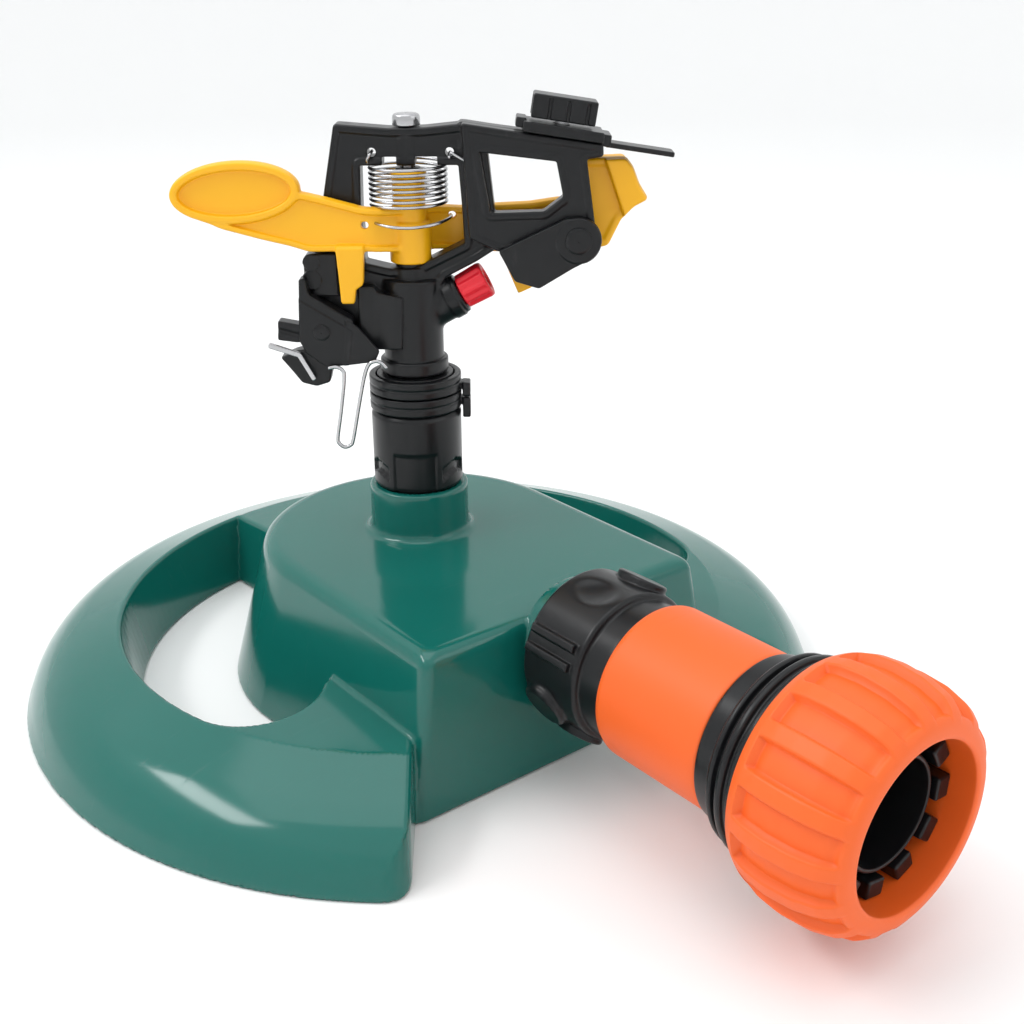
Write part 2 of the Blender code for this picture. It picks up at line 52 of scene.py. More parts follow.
# the spindle is the middle of the swivel sleeve, the hose axis the middle of the hose nut
sleeveLow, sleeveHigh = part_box("bearing_sleeve")
nutLow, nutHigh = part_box("hose_nut")
spindleY = (sleeveLow.y + sleeveHigh.y) / 2 / mm
inletHeight = (nutLow.z + nutHigh.z) / 2 / mm
headAngle = math.radians(-38.4)      # the jet points this way round from +X
jetAngle = math.radians(28.5)        # and rises by this
jetRootHeight = 90.3
knobTilt = math.radians(8.7)
knobPlace = (34.4, -1.8, 132.3)      # out along the head, across it, and up


def placing(rotation, offset):
    # a turn and a shift that take a piece's own millimetres to the row's
    return np.array(rotation, float), np.array(offset, float)


def placingInside(outer, rotation, offset):
    turn, shift = outer
    return turn @ np.array(rotation, float), turn @ np.array(offset, float) + shift


def turnAbout(axis, angle):
    return np.array(Matrix.Rotation(angle, 3, axis))


atSpindle = placing(np.eye(3), (0, spindleY, 0))
alongHose = placing([[1, 0, 0], [0, 0, -1], [0, 1, 0]], (0, spindleY, inletHeight))
onHead = placing(turnAbout("Z", headAngle), (0, spindleY, 0))
alongJet = placingInside(onHead, turnAbout("Y", math.pi / 2 - jetAngle), (0, 0, jetRootHeight))
onKnob = placingInside(onHead, turnAbout("Y", knobTilt), knobPlace)


# Distance fields, negative inside, in millimetres

def softMin(a, b, blend):
    # the lower of two fields, rounded over a band of the blend's width
    h = np.clip(0.5 + 0.5 * (b - a) / blend, 0, 1)
    return b + (a - b) * h - blend * h * (1 - h)


def softMax(a, b, blend):
    return -softMin(-a, -b, blend)


def without(a, b, blend=0.3):
    return softMax(a, -b, blend)


def lengthOf(*parts):
    total = 0
    for part in parts:
        total = total + part * part
    return np.sqrt(total)


def fieldOutline(x, y, outline):
    # distance to a closed polygon: its nearest edge, negative where an odd number of edges lies to the right
    points = np.asarray(outline, float)
    nearest = np.full(np.broadcast(x, y).shape, 1e12)
    inside = np.zeros(nearest.shape, bool)
    for (ax, ay), (bx, by) in zip(points, np.roll(points, -1, 0)):
        ex, ey = bx - ax, by - ay
        px, py = x - ax, y - ay
        along = np.clip((px * ex + py * ey) / (ex * ex + ey * ey), 0, 1)
        nearest = np.minimum(nearest, (px - ex * along) ** 2 + (py - ey * along) ** 2)
        if ey:
            inside ^= (y >= min(ay, by)) & (y < max(ay, by)) & (x < ax + (y - ay) * ex / ey)
    return np.where(inside, -1, 1) * np.sqrt(nearest)


def fieldSlab(flat, across, low, high, edge=0.4):
    # an outline's field carried from low to high, with its edges rounded
    a = flat + edge
    b = np.abs(across - (low + high) / 2) - (high - low) / 2 + edge
    return lengthOf(np.maximum(a, 0), np.maximum(b, 0)) + np.minimum(np.maximum(a, b), 0) - edge


def fieldBox(x, y, z, low, high, edge=0.4):
    a = np.abs(x - (low[0] + high[0]) / 2) - (high[0] - low[0]) / 2 + edge
    b = np.abs(y - (low[1] + high[1]) / 2) - (high[1] - low[1]) / 2 + edge
    c = np.abs(z - (low[2] + high[2]) / 2) - (high[2] - low[2]) / 2 + edge
    outer = lengthOf(np.maximum(a, 0), np.maximum(b, 0), np.maximum(c, 0))
    return outer + np.minimum(np.maximum(np.maximum(a, b), c), 0) - edge


def fieldRod(radial, along, radius, low, high, edge=0.4):
    return fieldSlab(radial - radius, along, low, high, edge)


def fieldBar(x, y, z, start, end, radius):
    # a round-ended bar between two points
    sx, sy, sz = start
    ex, ey, ez = end[0] - sx, end[1] - sy, end[2] - sz
    along = np.clip(((x - sx) * ex + (y - sy) * ey + (z - sz) * ez) / (ex * ex + ey * ey + ez * ez), 0, 1)
    return lengthOf(x - sx - ex * along, y - sy - ey * along, z - sz - ez * along) - radius


def roundedOutline(corners, radius, count=5):
    # each corner gives way to a quadratic curve that leaves and joins its sides a radius away
    corners = np.asarray(corners, float)
    before = np.roll(corners, 1, 0) - corners
    after = np.roll(corners, -1, 0) - corners
    lengthBefore = np.linalg.norm(before, axis=1)[:, None, None]
    lengthAfter = np.linalg.norm(after, axis=1)[:, None, None]
    reach = np.minimum(np.minimum(lengthBefore, lengthAfter) * 0.45, radius)
    t = np.linspace(0, 1, count)[None, :, None]
    middle = corners[:, None]
    start = middle + before[:, None] / lengthBefore * reach
    end = middle + after[:, None] / lengthAfter * reach
    return (start * (1 - t) ** 2 + 2 * middle * t * (1 - t) + end * t * t).reshape(-1, 2)


def arcPoints(centre, radius, start, end, count):
    angle = np.radians(np.linspace(start, end, count))
    return np.stack([centre[0] + radius * np.cos(angle), centre[1] + radius * np.sin(angle)], 1)


# Meshes from fields and from grids of points

def makeObject(name, points, faces, at, normals=None):
    turn, shift = at
    mesh = bpy.data.meshes.new(name)
    mesh.from_pydata(((points @ turn.T + shift) * mm).tolist(), [], faces)
    mesh.validate()
    mesh.shade_smooth()
    if normals is not None:
        mesh.normals_split_custom_set_from_vertices((normals @ turn.T).tolist())
    piece = bpy.data.objects.new(name, mesh)
    bpy.context.scene.collection.objects.link(piece)
    return piece


def moulded(name, field, low, high, step, at):
    # The zero level of a field on a grid: one point in each cell that the surface crosses, moved on to it
    # down the field's slope, and one four-sided face round each grid edge that the surface crosses.
    axes = [np.arange(a - 1.5 * step, b + 2.5 * step, step) for a, b in zip(low, high)]
    values = field(*np.meshgrid(*axes, indexing="ij", sparse=True))
    solid = np.broadcast_to(values < 0, [len(axis) for axis in axes])
    count = sum(solid[i:i - 1 or None, j:j - 1 or None, k:k - 1 or None].astype(np.int8)
                for i in (0, 1) for j in (0, 1) for k in (0, 1))
    cells = np.nonzero((count > 0) & (count < 8))
    index = np.full(count.shape, -1)
    index[cells] = np.arange(len(cells[0]))
    centre = np.stack([axis[cell] + step / 2 for axis, cell in zip(axes, cells)], 1)

    def slopeAt(points, reach):
        shifts = np.eye(3) * reach
        slope = np.stack([field(*(points + shift).T) - field(*(points - shift).T) for shift in shifts], 1)
        return slope / np.maximum(np.linalg.norm(slope, axis=1), 1e-9)[:, None]

    points = centre
    for turn in range(4):
        pull = field(*points.T)[:, None] * slopeAt(points, step * 0.25)
        points = np.clip(points - pull * 0.9, centre - step * 0.6, centre + step * 0.6)
    faces = []
    for d, (e, f) in enumerate(((1, 2), (2, 0), (0, 1))):
        lower = np.delete(np.arange(solid.shape[d]), -1)
        here, there = np.take(solid, lower, d), np.take(solid, lower + 1, d)
        edge = np.stack(np.nonzero(here != there), 1)
        edge = edge[(edge[:, e] > 0) & (edge[:, f] > 0)]
        corners = []
        for back in ((0, 0), (1, 0), (1, 1), (0, 1)):
            cell = edge.copy()
            cell[:, e] -= back[0]
            cell[:, f] -= back[1]
            corners.append(index[tuple(cell.T)])
        corners = np.stack(corners, 1)
        rising = here[tuple(edge.T)]
        faces.append(np.where(rising[:, None], corners, corners[:, ::-1]))
    faces = np.concatenate(faces)
    print("  %s: %d faces" % (name, len(faces)))
    return makeObject(name, points, faces.tolist(), at, slopeAt(points, step * 0.3))


def closeSpaced(outline, spacing):
    # the same closed outline with no two points further apart than the spacing
    outline = np.asarray(outline, float)
    after = np.roll(outline, -1, 0)
    parts = []
    for start, end in zip(outline, after):
        count = max(1, math.ceil(np.linalg.norm(end - start) / spacing))
        parts.append(start + (end - start) * (np.arange(count) / count)[:, None])
    return np.concatenate(parts)


def turned(name, outline, at, radius=0.4, count=128, spacing=1.2, shape=None):
    # A closed (radius, height) outline turned about the axis: point (i, j) is outline point i at angle j,
    # and shape may change the radius and height there.
    outline = closeSpaced(roundedOutline(outline, radius), spacing)
    angle = np.linspace(0, 2 * math.pi, count, endpoint=False)[None, :]
    r, z = outline[:, :1] + angle * 0, outline[:, 1:] + angle * 0
    if shape:
        r, z = shape(r, z, angle + r * 0)
    points = np.stack([r * np.cos(angle), r * np.sin(angle), z], 2).reshape(-1, 3)
    rows = len(outline)
    i = np.arange(rows)[:, None] + np.zeros((1, count), int)
    j = np.arange(count)[None, :] + np.zeros((rows, 1), int)
    cell = lambda a, b: (a % rows * count + b % count).reshape(-1)
    faces = np.stack([cell(i, j), cell(i, j + 1), cell(i + 1, j + 1), cell(i + 1, j)], 1)
    after = np.roll(outline, -1, 0)
    if (outline[:, 0] * after[:, 1] - after[:, 0] * outline[:, 1]).sum() < 0:
        faces = faces[:, ::-1]
    return makeObject(name, points, faces.tolist(), at)


def wireAlong(name, path, radius, at, sides=14, across=(0, 0, 1)):
    # A round wire: at each point of the path a circle square to it, with its ends closed by half balls
    path = np.asarray(path, float)
    lead = path[:1] + (path[0] - path[1]) / np.linalg.norm(path[0] - path[1]) * radius
    tail = path[-1:] + (path[-1] - path[-2]) / np.linalg.norm(path[-1] - path[-2]) * radius
    capRings = 5
    turn = np.sin(np.linspace(0, math.pi / 2, capRings))[:, None]
    fall = np.cos(np.linspace(0, math.pi / 2, capRings))[:, None]
    start = (path[:1] + (lead - path[:1]) * turn)[::-1]
    end = path[-1:] + (tail - path[-1:]) * turn
    size = np.concatenate([fall[::-1], np.ones((len(path) - 2, 1)), fall])[:, 0] * radius
    size[0] = size[-1] = radius * 0.02
    centre = np.concatenate([start, path[1:-1], end])
    tangent = np.gradient(path, axis=0)
    tangent = np.concatenate([np.repeat(tangent[:1], capRings, 0), tangent[1:-1],
                              np.repeat(tangent[-1:], capRings, 0)])
    tangent /= np.linalg.norm(tangent, axis=1)[:, None]
    side = np.cross(tangent, np.asarray(across, float))
    side /= np.linalg.norm(side, axis=1)[:, None]
    other = np.cross(tangent, side)
    angle = np.linspace(0, 2 * math.pi, sides, endpoint=False)
    ring = side[:, None] * np.cos(angle)[None, :, None] + other[:, None] * np.sin(angle)[None, :, None]
    points = (centre[:, None] + ring * size[:, None, None]).reshape(-1, 3)
    rows = len(centre)
    i = np.arange(rows - 1)[:, None] + np.zeros((1, sides), int)
    j = np.arange(sides)[None, :] + np.zeros((rows - 1, 1), int)
    cell = lambda a, b: (a * sides + b % sides).reshape(-1)
    faces = np.stack([cell(i, j), cell(i, j + 1), cell(i + 1, j + 1), cell(i + 1, j)], 1).tolist()
    faces += [list(range(sides))[::-1], list(range((rows - 1) * sides, rows * sides))]
    return makeObject(name, points, faces, at)


def smoothPath(points, count):
    # Catmull-Rom curve through the points: each span is a cubic of its four nearest points
    points = np.asarray(points, float)
    full = np.concatenate([2 * points[:1] - points[1:2], points, 2 * points[-1:] - points[-2:-1]])
    t = np.linspace(0, len(points) - 1, count)
    span = np.minimum(t.astype(int), len(points) - 2)
    f = (t - span)[:, None]
    a, b, c, d = full[span], full[span + 1], full[span + 2], full[span + 3]
    return 0.5 * (2 * b + (c - a) * f + (2 * a - 5 * b + 4 * c - d) * f ** 2 + (3 * b - a - 3 * c + d) * f ** 3)


# Materials

class Link:
    # a node tree's output socket that can be written in sums, and that adds further nodes
    def __init__(self, tree, socket=None):
        self.tree = tree
        self.socket = socket

    def node(self, kind, settings, inputs, output=0):
        # adds a node, sets it up, then fills its sockets with values or links
        made = self.tree.nodes.new(kind)
        for name, value in settings.items():
            setattr(made, name, value)
        for name, value in inputs.items():
            if isinstance(value, Link):
                self.tree.links.new(value.socket, made.inputs[name])
            else:
                made.inputs[name].default_value = value
        return Link(self.tree, made.outputs[output])

    def into(self, shader, name):
        self.tree.links.new(self.socket, shader.inputs[name])

    def maths(self, operation, first, second):
        return self.node("ShaderNodeMath", {"operation": operation}, {0: first, 1: second})

    def __add__(self, other):
        return self.maths("ADD", self, other)

    def __radd__(self, other):
        return self.maths("ADD", other, self)

    def __sub__(self, other):
        return self.maths("SUBTRACT", self, other)

    def __rsub__(self, other):
        return self.maths("SUBTRACT", other, self)

    def __mul__(self, other):
        return self.maths("MULTIPLY", self, other)

    def __rmul__(self, other):
        return self.maths("MULTIPLY", other, self)

    def mix(self, first, second):
        # this value mixes two colours
        return self.node("ShaderNodeMix", {"data_type": "RGBA"}, {0: self, 6: first, 7: second}, 2)

    def noise(self, scale, detail=2.0, roughness=0.5):
        return self.node("ShaderNodeTexNoise", {}, {"Vector": self, "Scale": scale, "Detail": detail,
                                                    "Roughness": roughness})

    def stepOver(self, low, high):
        # 0 below low, 1 above high, smooth between
        return self.node("ShaderNodeMapRange", {"interpolation_type": "SMOOTHSTEP"},
                         {"Value": self, "From Min": low, "From Max": high})

    def bump(self):
        return self.node("ShaderNodeBump", {}, {"Strength": 1.0, "Distance": 0.001, "Height": self})


def newMaterial(name):
    material = bpy.data.materials.new(name)
    material.use_nodes = True
    tree = material.node_tree
    place = Link(tree).node("ShaderNodeTexCoord", {}, {}, 3)  # Object coordinates
    return material, tree.nodes["Principled BSDF"], place


def plastic(name, color, look):
    # Moulded plastic: uneven gloss, faint cloudiness in the colour, fine grain, scattered dull scuffs
    material, shader, place = newMaterial(name)
    cloud = place.noise(look["cloudScale"], 4)
    fine = place.noise(look["grainScale"], 3, 0.6)
    wavy = place.noise(look["waveScale"], 1)
    stretched = place.node("ShaderNodeMapping", {}, {"Vector": place, "Rotation": (0.4, 0.7, 0.2),
                                                     "Scale": (1.0, 9.0, 1.6)})
    scuff = stretched.noise(look["scuffScale"], 5, 0.65).stepOver(0.60, 0.74)
    darker = tuple(c * (1 - look["cloudDepth"]) for c in color)
    lighter = tuple(min(1, c * (1 + look["cloudDepth"])) for c in color)
    worn = tuple(c + (0.55 - c) * 0.06 for c in color)
    tint = cloud.mix((*darker, 1), (*lighter, 1))
    (scuff * look["scuffTint"]).mix(tint, (*worn, 1)).into(shader, "Base Color")
    rough = look["roughness"] + (cloud - 0.5) * look["glossVariation"] + scuff * look["scuffRoughness"]
    rough.into(shader, "Roughness")
    height = fine * look["grainHeight"] + wavy * look["waveHeight"] + scuff * look["scuffHeight"]
    height.bump().into(shader, "Normal")
    shader.inputs["IOR"].default_value = look["ior"]
    return material


def steelWire(name, look):
    # Drawn or turned steel: bright, with fine streaks and a few duller patches
    material, shader, place = newMaterial(name)
    streak = place.noise(look["streakScale"], 4, 0.7)
    place.noise(look["patchScale"], 2).mix((*look["dark"], 1), (*look["bright"], 1)).into(shader, "Base Color")
    (look["roughness"] + (streak - 0.5) * 0.15).into(shader, "Roughness")
    (streak * look["streakHeight"]).bump().into(shader, "Normal")
    shader.inputs["Metallic"].default_value = 1.0
    return material


plasticLook = {
    "cloudScale": 28.0, "cloudDepth": 0.06,
    "grainScale": 2600.0, "grainHeight": 0.004,
    "waveScale": 130.0, "waveHeight": 0.012,
    "scuffScale": 60.0, "scuffTint": 0.2, "scuffRoughness": 0.12, "scuffHeight": 0.004,
    "roughness": 0.3, "glossVariation": 0.06, "ior": 1.5,
}
greenPlastic = plastic("green moulded plastic", (0.005, 0.118, 0.096), dict(
    plasticLook, roughness=0.13, glossVariation=0.05, waveHeight=0.02, waveScale=90.0))
blackPlastic = plastic("black moulded plastic", (0.0065, 0.007, 0.008), dict(
    plasticLook, roughness=0.3, ior=1.38, scuffTint=0.25, cloudDepth=0.15))
yellowPlastic = plastic("yellow moulded plastic", (0.92, 0.46, 0.003), dict(
    plasticLook, roughness=0.42, cloudDepth=0.03))
orangePlastic = plastic("orange satin plastic", (0.86, 0.122, 0.009), dict(
    plasticLook, roughness=0.5, cloudDepth=0.03, grainHeight=0.01, grainScale=1500.0))
redPlastic = plastic("red moulded plastic", (0.80, 0.012, 0.028), dict(plasticLook, roughness=0.42))
sealRubber = plastic("seal rubber", (0.012, 0.012, 0.012), dict(plasticLook, roughness=0.75))
steel = steelWire("drawn steel", {
    "streakScale": 900.0, "streakHeight": 0.006, "patchScale": 60.0, "roughness": 0.2,
    "dark": (0.33, 0.33, 0.34), "bright": (0.62, 0.62, 0.63)})


def fit(piece, material, slot, body, *replaced):
    piece.data.materials.append(material)
    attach(piece, body)
    if replaced:
        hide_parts(*replaced)
    return piece


print("camera, floor and light")
view = {
    "place": (-168.77, -250.23, 167.93),   # millimetres from the spindle at ground level
    "azimuth": -38.4, "elevation": 23.0, "roll": -0.37, "lens": 45.475,
}


def makeCamera():
    # looks along the head's back, down by the elevation, then rolls about its own line of sight
    around, down, roll = (math.radians(view[key]) for key in ("azimuth", "elevation", "roll"))
    back = Vector((math.sin(around) * math.cos(down), -math.cos(around) * math.cos(down), math.sin(down)))
    right = Vector((math.cos(around), math.sin(around), 0))
    up = back.cross(right)
    rightRolled = right * math.cos(roll) + up * math.sin(roll)
    upRolled = up * math.cos(roll) - right * math.sin(roll)
    camera = bpy.data.cameras.new("camera")
    camera.lens = view["lens"]
    camera.sensor_width = 36.0
    camera.clip_start = 0.01
    seat = bpy.data.objects.new("camera", camera)
    bpy.context.scene.collection.objects.link(seat)
    place = (Vector(view["place"]) + Vector((0, spindleY, 0))) * mm
    seat.matrix_world = Matrix.Translation(place) @ Matrix((rightRolled, upRolled, back)).transposed().to_4x4()
    bpy.context.scene.camera = seat


room = {
    "floorRadius": 1300.0, "sweep": 900.0, "wall": 600.0, "facets": 96, "roughness": 0.55,
    "color": (0.92, 0.92, 0.915), "air": (0.97, 0.985, 1.0), "airStrength": 1.1,
}
lamps = {  # place and target in metres, width and height of the panel, power
    "overhead": ((-0.1, 0.1, 0.9), (0, 0, 0.05), (0.7, 0.7), 1.6),
    "left window": ((-0.56, 0.30, 0.74), (-0.07, -0.03, 0.0), (0.62, 0.16), 2.6),
    "front fill": ((0.5, -0.9, 0.6), (0, 0, 0.05), (0.6, 0.5), 0.8),
}


def makeFloor():
    # A round floor that sweeps up into a wall all round, so that no edge shows behind the piece
    r = room
    turn = np.radians(np.linspace(0, 90, 24))
    reach = r["floorRadius"] + r["sweep"]
    across = np.concatenate([[0.5, 300, 700], r["floorRadius"] + r["sweep"] * np.sin(turn), [reach]])
    up = np.concatenate([[0, 0, 0], r["sweep"] * (1 - np.cos(turn)), [r["sweep"] + r["wall"]]]) - 0.05
    angle = np.linspace(0, 2 * math.pi, r["facets"], endpoint=False)
    points = np.stack([across[:, None] * np.cos(angle), across[:, None] * np.sin(angle),
                       up[:, None] + 0 * angle], 2).reshape(-1, 3)
    i = np.arange(len(across) - 1)[:, None] + np.zeros((1, r["facets"]), int)
    j = np.arange(r["facets"])[None, :] + np.zeros((len(across) - 1, 1), int)
    cell = lambda a, b: (a * r["facets"] + b % r["facets"]).reshape(-1)
    faces = np.stack([cell(i, j), cell(i + 1, j), cell(i + 1, j + 1), cell(i, j + 1)], 1).tolist()
    floor = makeObject("floor", points, faces + [list(range(r["facets"]))], placing(np.eye(3), (0, 0, 0)))
    material = bpy.data.materials.new("pale floor")
    material.use_nodes = True
    shader = material.node_tree.nodes["Principled BSDF"]
    shader.inputs["Base Color"].default_value = (*r["color"], 1)
    shader.inputs["Roughness"].default_value = r["roughness"]
    floor.data.materials.append(material)


def addLight(name, place, target, size, power):
    light = bpy.data.lights.new(name, "AREA")
    light.shape = "RECTANGLE"
    light.size, light.size_y = size
    light.energy = power
    lamp = bpy.data.objects.new(name, light)
    bpy.context.scene.collection.objects.link(lamp)
    aim = (Vector(target) - Vector(place)).to_track_quat("-Z", "Y")
    lamp.matrix_world = Matrix.Translation(place) @ aim.to_matrix().to_4x4()


def makeLight():
    world = bpy.data.worlds.new("white room")
    world.use_nodes = True
    air = world.node_tree.nodes["Background"]
    air.inputs["Color"].default_value = (*room["air"], 1)
    air.inputs["Strength"].default_value = room["airStrength"]
    bpy.context.scene.world = world
    for name, settings in lamps.items():
        addLight(name, *settings)


bpy.context.scene.view_settings.view_transform = "Standard"
makeCamera()
makeFloor()
makeLight()

print("base")
base = {
    "ringRadius": 100.0, "outerDraft": 0.4167, "innerEdge": 75.7, "innerEdgeHeight": 18.6,
    "slopeOut": 0.34, "slopeIn": 0.055, "shoulder": 6.5, "gapHalfAngle": 36.6,
    "openingDraft": 3.7, "wall": 2.0, "footEdge": 1.1, "step": 0.8,
    "housingHeight": 37.1, "housingTop": 38.85, "housingFoot": 49.0, "housingFootFront": 45.0,
    "frontFoot": 61.0, "frontTop": 57.6,
    "bossRadius": 12.1, "bossTop": 49.4, "bore": 9.6, "stubRadius": 13.0, "stubEnd": 74.0,
    "waterWay": 5.4,
}


def openingPlan():
    points = [arcPoints((0, 0), base["innerEdge"], 101, 194, 40),
              arcPoints((-57.8, -16.8), 15.5, 197, 322, 24),
              np.array([(-30.0, -20.0), (-22.0, 20.0), (-13.5, 40.0)])]
    return np.concatenate(points)


openingOutline = openingPlan()


def baseField(x, y, z):
    b = base
    radial = lengthOf(x, y)
    wide = np.abs(x)
    outer = (radial - b["ringRadius"] + b["outerDraft"] * z) / math.hypot(1, b["outerDraft"])
    rise = b["innerEdge"] - radial
    top = z - b["innerEdgeHeight"] - np.where(rise > 0, b["slopeIn"], b["slopeOut"]) * rise
    gapAngle = math.radians(b["gapHalfAngle"])
    gap = wide * math.cos(gapAngle) + y * math.sin(gapAngle)
    ring = softMax(outer, top * 0.95, b["shoulder"])
    ring = np.maximum(softMax(ring, -gap, 1.6), softMax(outer, -gap, 6.0))
    opening = fieldOutline(-wide, y, openingOutline) + b["openingDraft"] * (1 - z / b["innerEdgeHeight"])
    ring = without(ring, opening * 0.98, 1.0)
    rising = z / b["housingHeight"]
    forward = np.clip(-y / 60.0, 0, 1)
    narrowing = (b["housingFoot"] - b["housingFootFront"]) * forward
    side = np.where(y > 0, radial, wide) - (b["housingFoot"] - narrowing) \
        + rising * (b["housingFoot"] - b["housingTop"] - narrowing)
    front = -y - b["frontFoot"] + rising * (b["frontFoot"] - b["frontTop"])
    housing = softMax(side * 0.965, front, 2.8)
    housing = softMax(housing, z - b["housingHeight"], 3.4)
    outside = softMin(ring, housing, 1.0)
    shell = softMax(outside, -(outside + b["wall"]), 0.6)
    boss = fieldRod(radial + 0.01 * (z - b["bossTop"]), z, b["bossRadius"], 34.0, b["bossTop"], 0.7)
    shell = softMin(shell, boss, 2.4)
    hoseRadial = lengthOf(x, z - inletHeight)
    stub = fieldRod(hoseRadial, -y, b["stubRadius"], 56.0, b["stubEnd"], 0.6)
    shell = softMin(shell, stub, 0.8)
    shell = without(shell, fieldRod(radial, z, b["bore"], 30.0, 60.0), 0.9)
    shell = without(shell, fieldRod(hoseRadial, -y, b["waterWay"], 50.0, 80.0), 0.6)
    return softMax(shell, -z, base["footEdge"])


def makeBase():
    fit(moulded("baseShell", baseField, (-100, -78, 0), (100, 100, 49.6), step=base["step"], at=atSpindle),
        greenPlastic, "green_plastic", "base", "base_shell")


makeBase()

print("hose connector")
connector = {
    "nutRibs": 16, "nutRecess": 1.75, "nutMouth": 150.0, "nutBack": 125.2, "nutHollow": 16.9,
    "claws": 11, "clawTurn": 30.0,
    "nippleOutline": [(4.6, 84.0), (7.9, 84.0), (7.9, 103.0), (6.9, 103.0), (6.9, 105.4), (7.9, 105.4),
                      (7.9, 107.3), (7.2, 108.0), (4.6, 108.0)],
    "bodyOutline": [(7.4, 109.0), (8.7, 109.0), (8.7, 86.5), (11.6, 86.5), (11.6, 113.1), (17.7, 113.1),
                    (17.9, 117.6), (19.6, 118.0), (20.1, 118.5), (20.1, 119.3), (19.0, 119.7), (19.0, 120.5),
                    (20.6, 120.9), (20.9, 121.4), (20.9, 122.3), (20.1, 122.7), (20.1, 123.2), (21.0, 123.6),
                    (21.1, 124.8), (16.5, 124.9), (16.5, 134.0), (14.2, 134.0), (14.2, 126.0), (11.7, 126.0),
                    (11.7, 143.7), (11.3, 144.1), (10.7, 144.0), (10.7, 126.0), (7.4, 122.0)],
    "sleeveOutline": [(13.6, 112.75), (13.6, 91.0), (16.1, 90.0), (16.1, 84.9), (16.7, 84.9),
                      (17.2, 86.0), (17.2, 112.0), (16.9, 112.75)],
}


def smoothStep(value, low, high):
    t = np.clip((value - low) / (high - low), 0, 1)
    return t * t * (3 - 2 * t)


def nutShape(r, z, angle):
    # long sunken panels between ribs, deepest in the middle and closed at both ends
    c = connector
    phase = (angle * c["nutRibs"] / (2 * math.pi)) % 1
    across = smoothStep(0.5 - np.abs(phase - 0.5), 0.18, 0.205)
    along = smoothStep(z, 128.2, 128.9) * (1 - smoothStep(z, 147.2, 149.5))
    outside = smoothStep(r, 19.5, 21.0)
    return r - c["nutRecess"] * across * along * outside, z


def makeNut():
    c = connector
    outline = [(c["nutHollow"], c["nutMouth"] - 0.3), (17.6, c["nutMouth"]), (19.4, 149.8), (21.6, 148.6),
               (23.4, 146.2), (24.8, 141.5), (25.3, 135.8), (24.9, 131.0), (23.8, 127.4), (22.6, 125.5),
               (21.6, c["nutBack"]), (c["nutHollow"], c["nutBack"])]
    fit(turned("hoseNut", outline, alongHose, radius=0.8, count=512, spacing=0.95, shape=nutShape),
        orangePlastic, "orange_plastic", "nut", "hose_nut")


def colletField(x, y, z):
    # a ring with square claws that stand up from it
    count = connector["claws"]
    angle = np.arctan2(y, x)
    sector = 2 * math.pi / count
    folded = (angle + sector / 2 - math.radians(connector["clawTurn"])) % sector - sector / 2
    radial = lengthOf(x, y)
    claw = fieldBox(radial * np.cos(folded), radial * np.sin(folded), z,
                    (12.9, -2.4, 136.0), (16.6, 2.4, 144.6), 0.5)
    ring = fieldSlab(np.abs(radial - 14.5) - 1.9, z, 134.6, 137.6, 0.3)
    return softMin(ring, claw, 0.3)


adaptor = {"radius": 16.9, "tabs": (60, 240), "dimples": (102, 282), "ribs": (156, 336), "lobes": (208, 28)}


def adaptorField(x, y, z):
    # a round nut with raised oval tabs, thumb dimples, slotted ribs and lobes, then a narrower lip
    a = adaptor
    radial = lengthOf(x, y)
    body = softMin(fieldRod(radial, z, a["radius"], 61.8, 78.4, 1.0),
                   fieldRod(radial, z, 15.6, 70.0, 84.3, 0.5), 0.6)

    def facing(degrees):
        turn = math.radians(degrees)
        return y * math.cos(turn) - x * math.sin(turn), x * math.cos(turn) + y * math.sin(turn)

    for degrees in a["tabs"]:
        side, out = facing(degrees)
        oval = (lengthOf(side / 4.4, (z - 71.2) / 6.3) - 1) * 4.4
        body = softMin(body, fieldSlab(oval, out, 12.0, 18.35, 0.5), 0.35)
    for degrees in a["lobes"]:
        side, out = facing(degrees)
        oval = (lengthOf(side / 5.6, (z - 67.6) / 5.6) - 1) * 5.6
        body = softMin(body, fieldSlab(oval, out, 12.0, 18.2, 1.2), 0.8)
    for degrees in a["dimples"]:
        side, out = facing(degrees)
        body = without(body, (lengthOf(side / 5.4, (z - 70.0) / 5.6, (out - 17.4) / 1.6) - 1) * 1.7, 0.5)
    for degrees in a["ribs"]:
        side, out = facing(degrees)
        for place in (-2.1, 2.1):
            rib = fieldSlab(np.maximum(np.abs(side - place) - 0.9, np.abs(z - 69.8) - 6.6), out, 12.0, 18.1, 0.45)
            body = softMin(body, rib, 0.3)
    body = without(body, fieldRod(radial, z, 13.4, 55.0, 76.2, 0.3), 0.4)
    return without(body, fieldRod(radial, z, 4.6, 55.0, 90.0, 0.2), 0.3)


def makeConnectorParts():
    c = connector
    fit(moulded("tapAdaptor", adaptorField, (-18.4, -18.4, 61.8), (18.4, 18.4, 84.3), step=0.36, at=alongHose),
        blackPlastic, "black_plastic", "adaptor")
    fit(turned("adaptorNipple", c["nippleOutline"], alongHose, radius=0.4, count=96, spacing=0.8),
        blackPlastic, "black_plastic", "adaptor", "tap_adaptor")
    fit(turned("connectorBody", c["bodyOutline"], alongHose, radius=0.45, count=192, spacing=0.7),
        blackPlastic, "black_plastic", "connector", "connector_body")
    fit(turned("releaseSleeve", c["sleeveOutline"], alongHose, radius=0.6, count=192, spacing=0.8),
        orangePlastic, "orange_plastic", "sleeve", "release_sleeve")
    fit(moulded("gripCollet", colletField, (-16.6, -16.6, 134.6), (16.6, 16.6, 144.7), step=0.3, at=alongHose),
        blackPlastic, "black_plastic", "nut", "grip_collet")


makeNut()
makeConnectorParts()

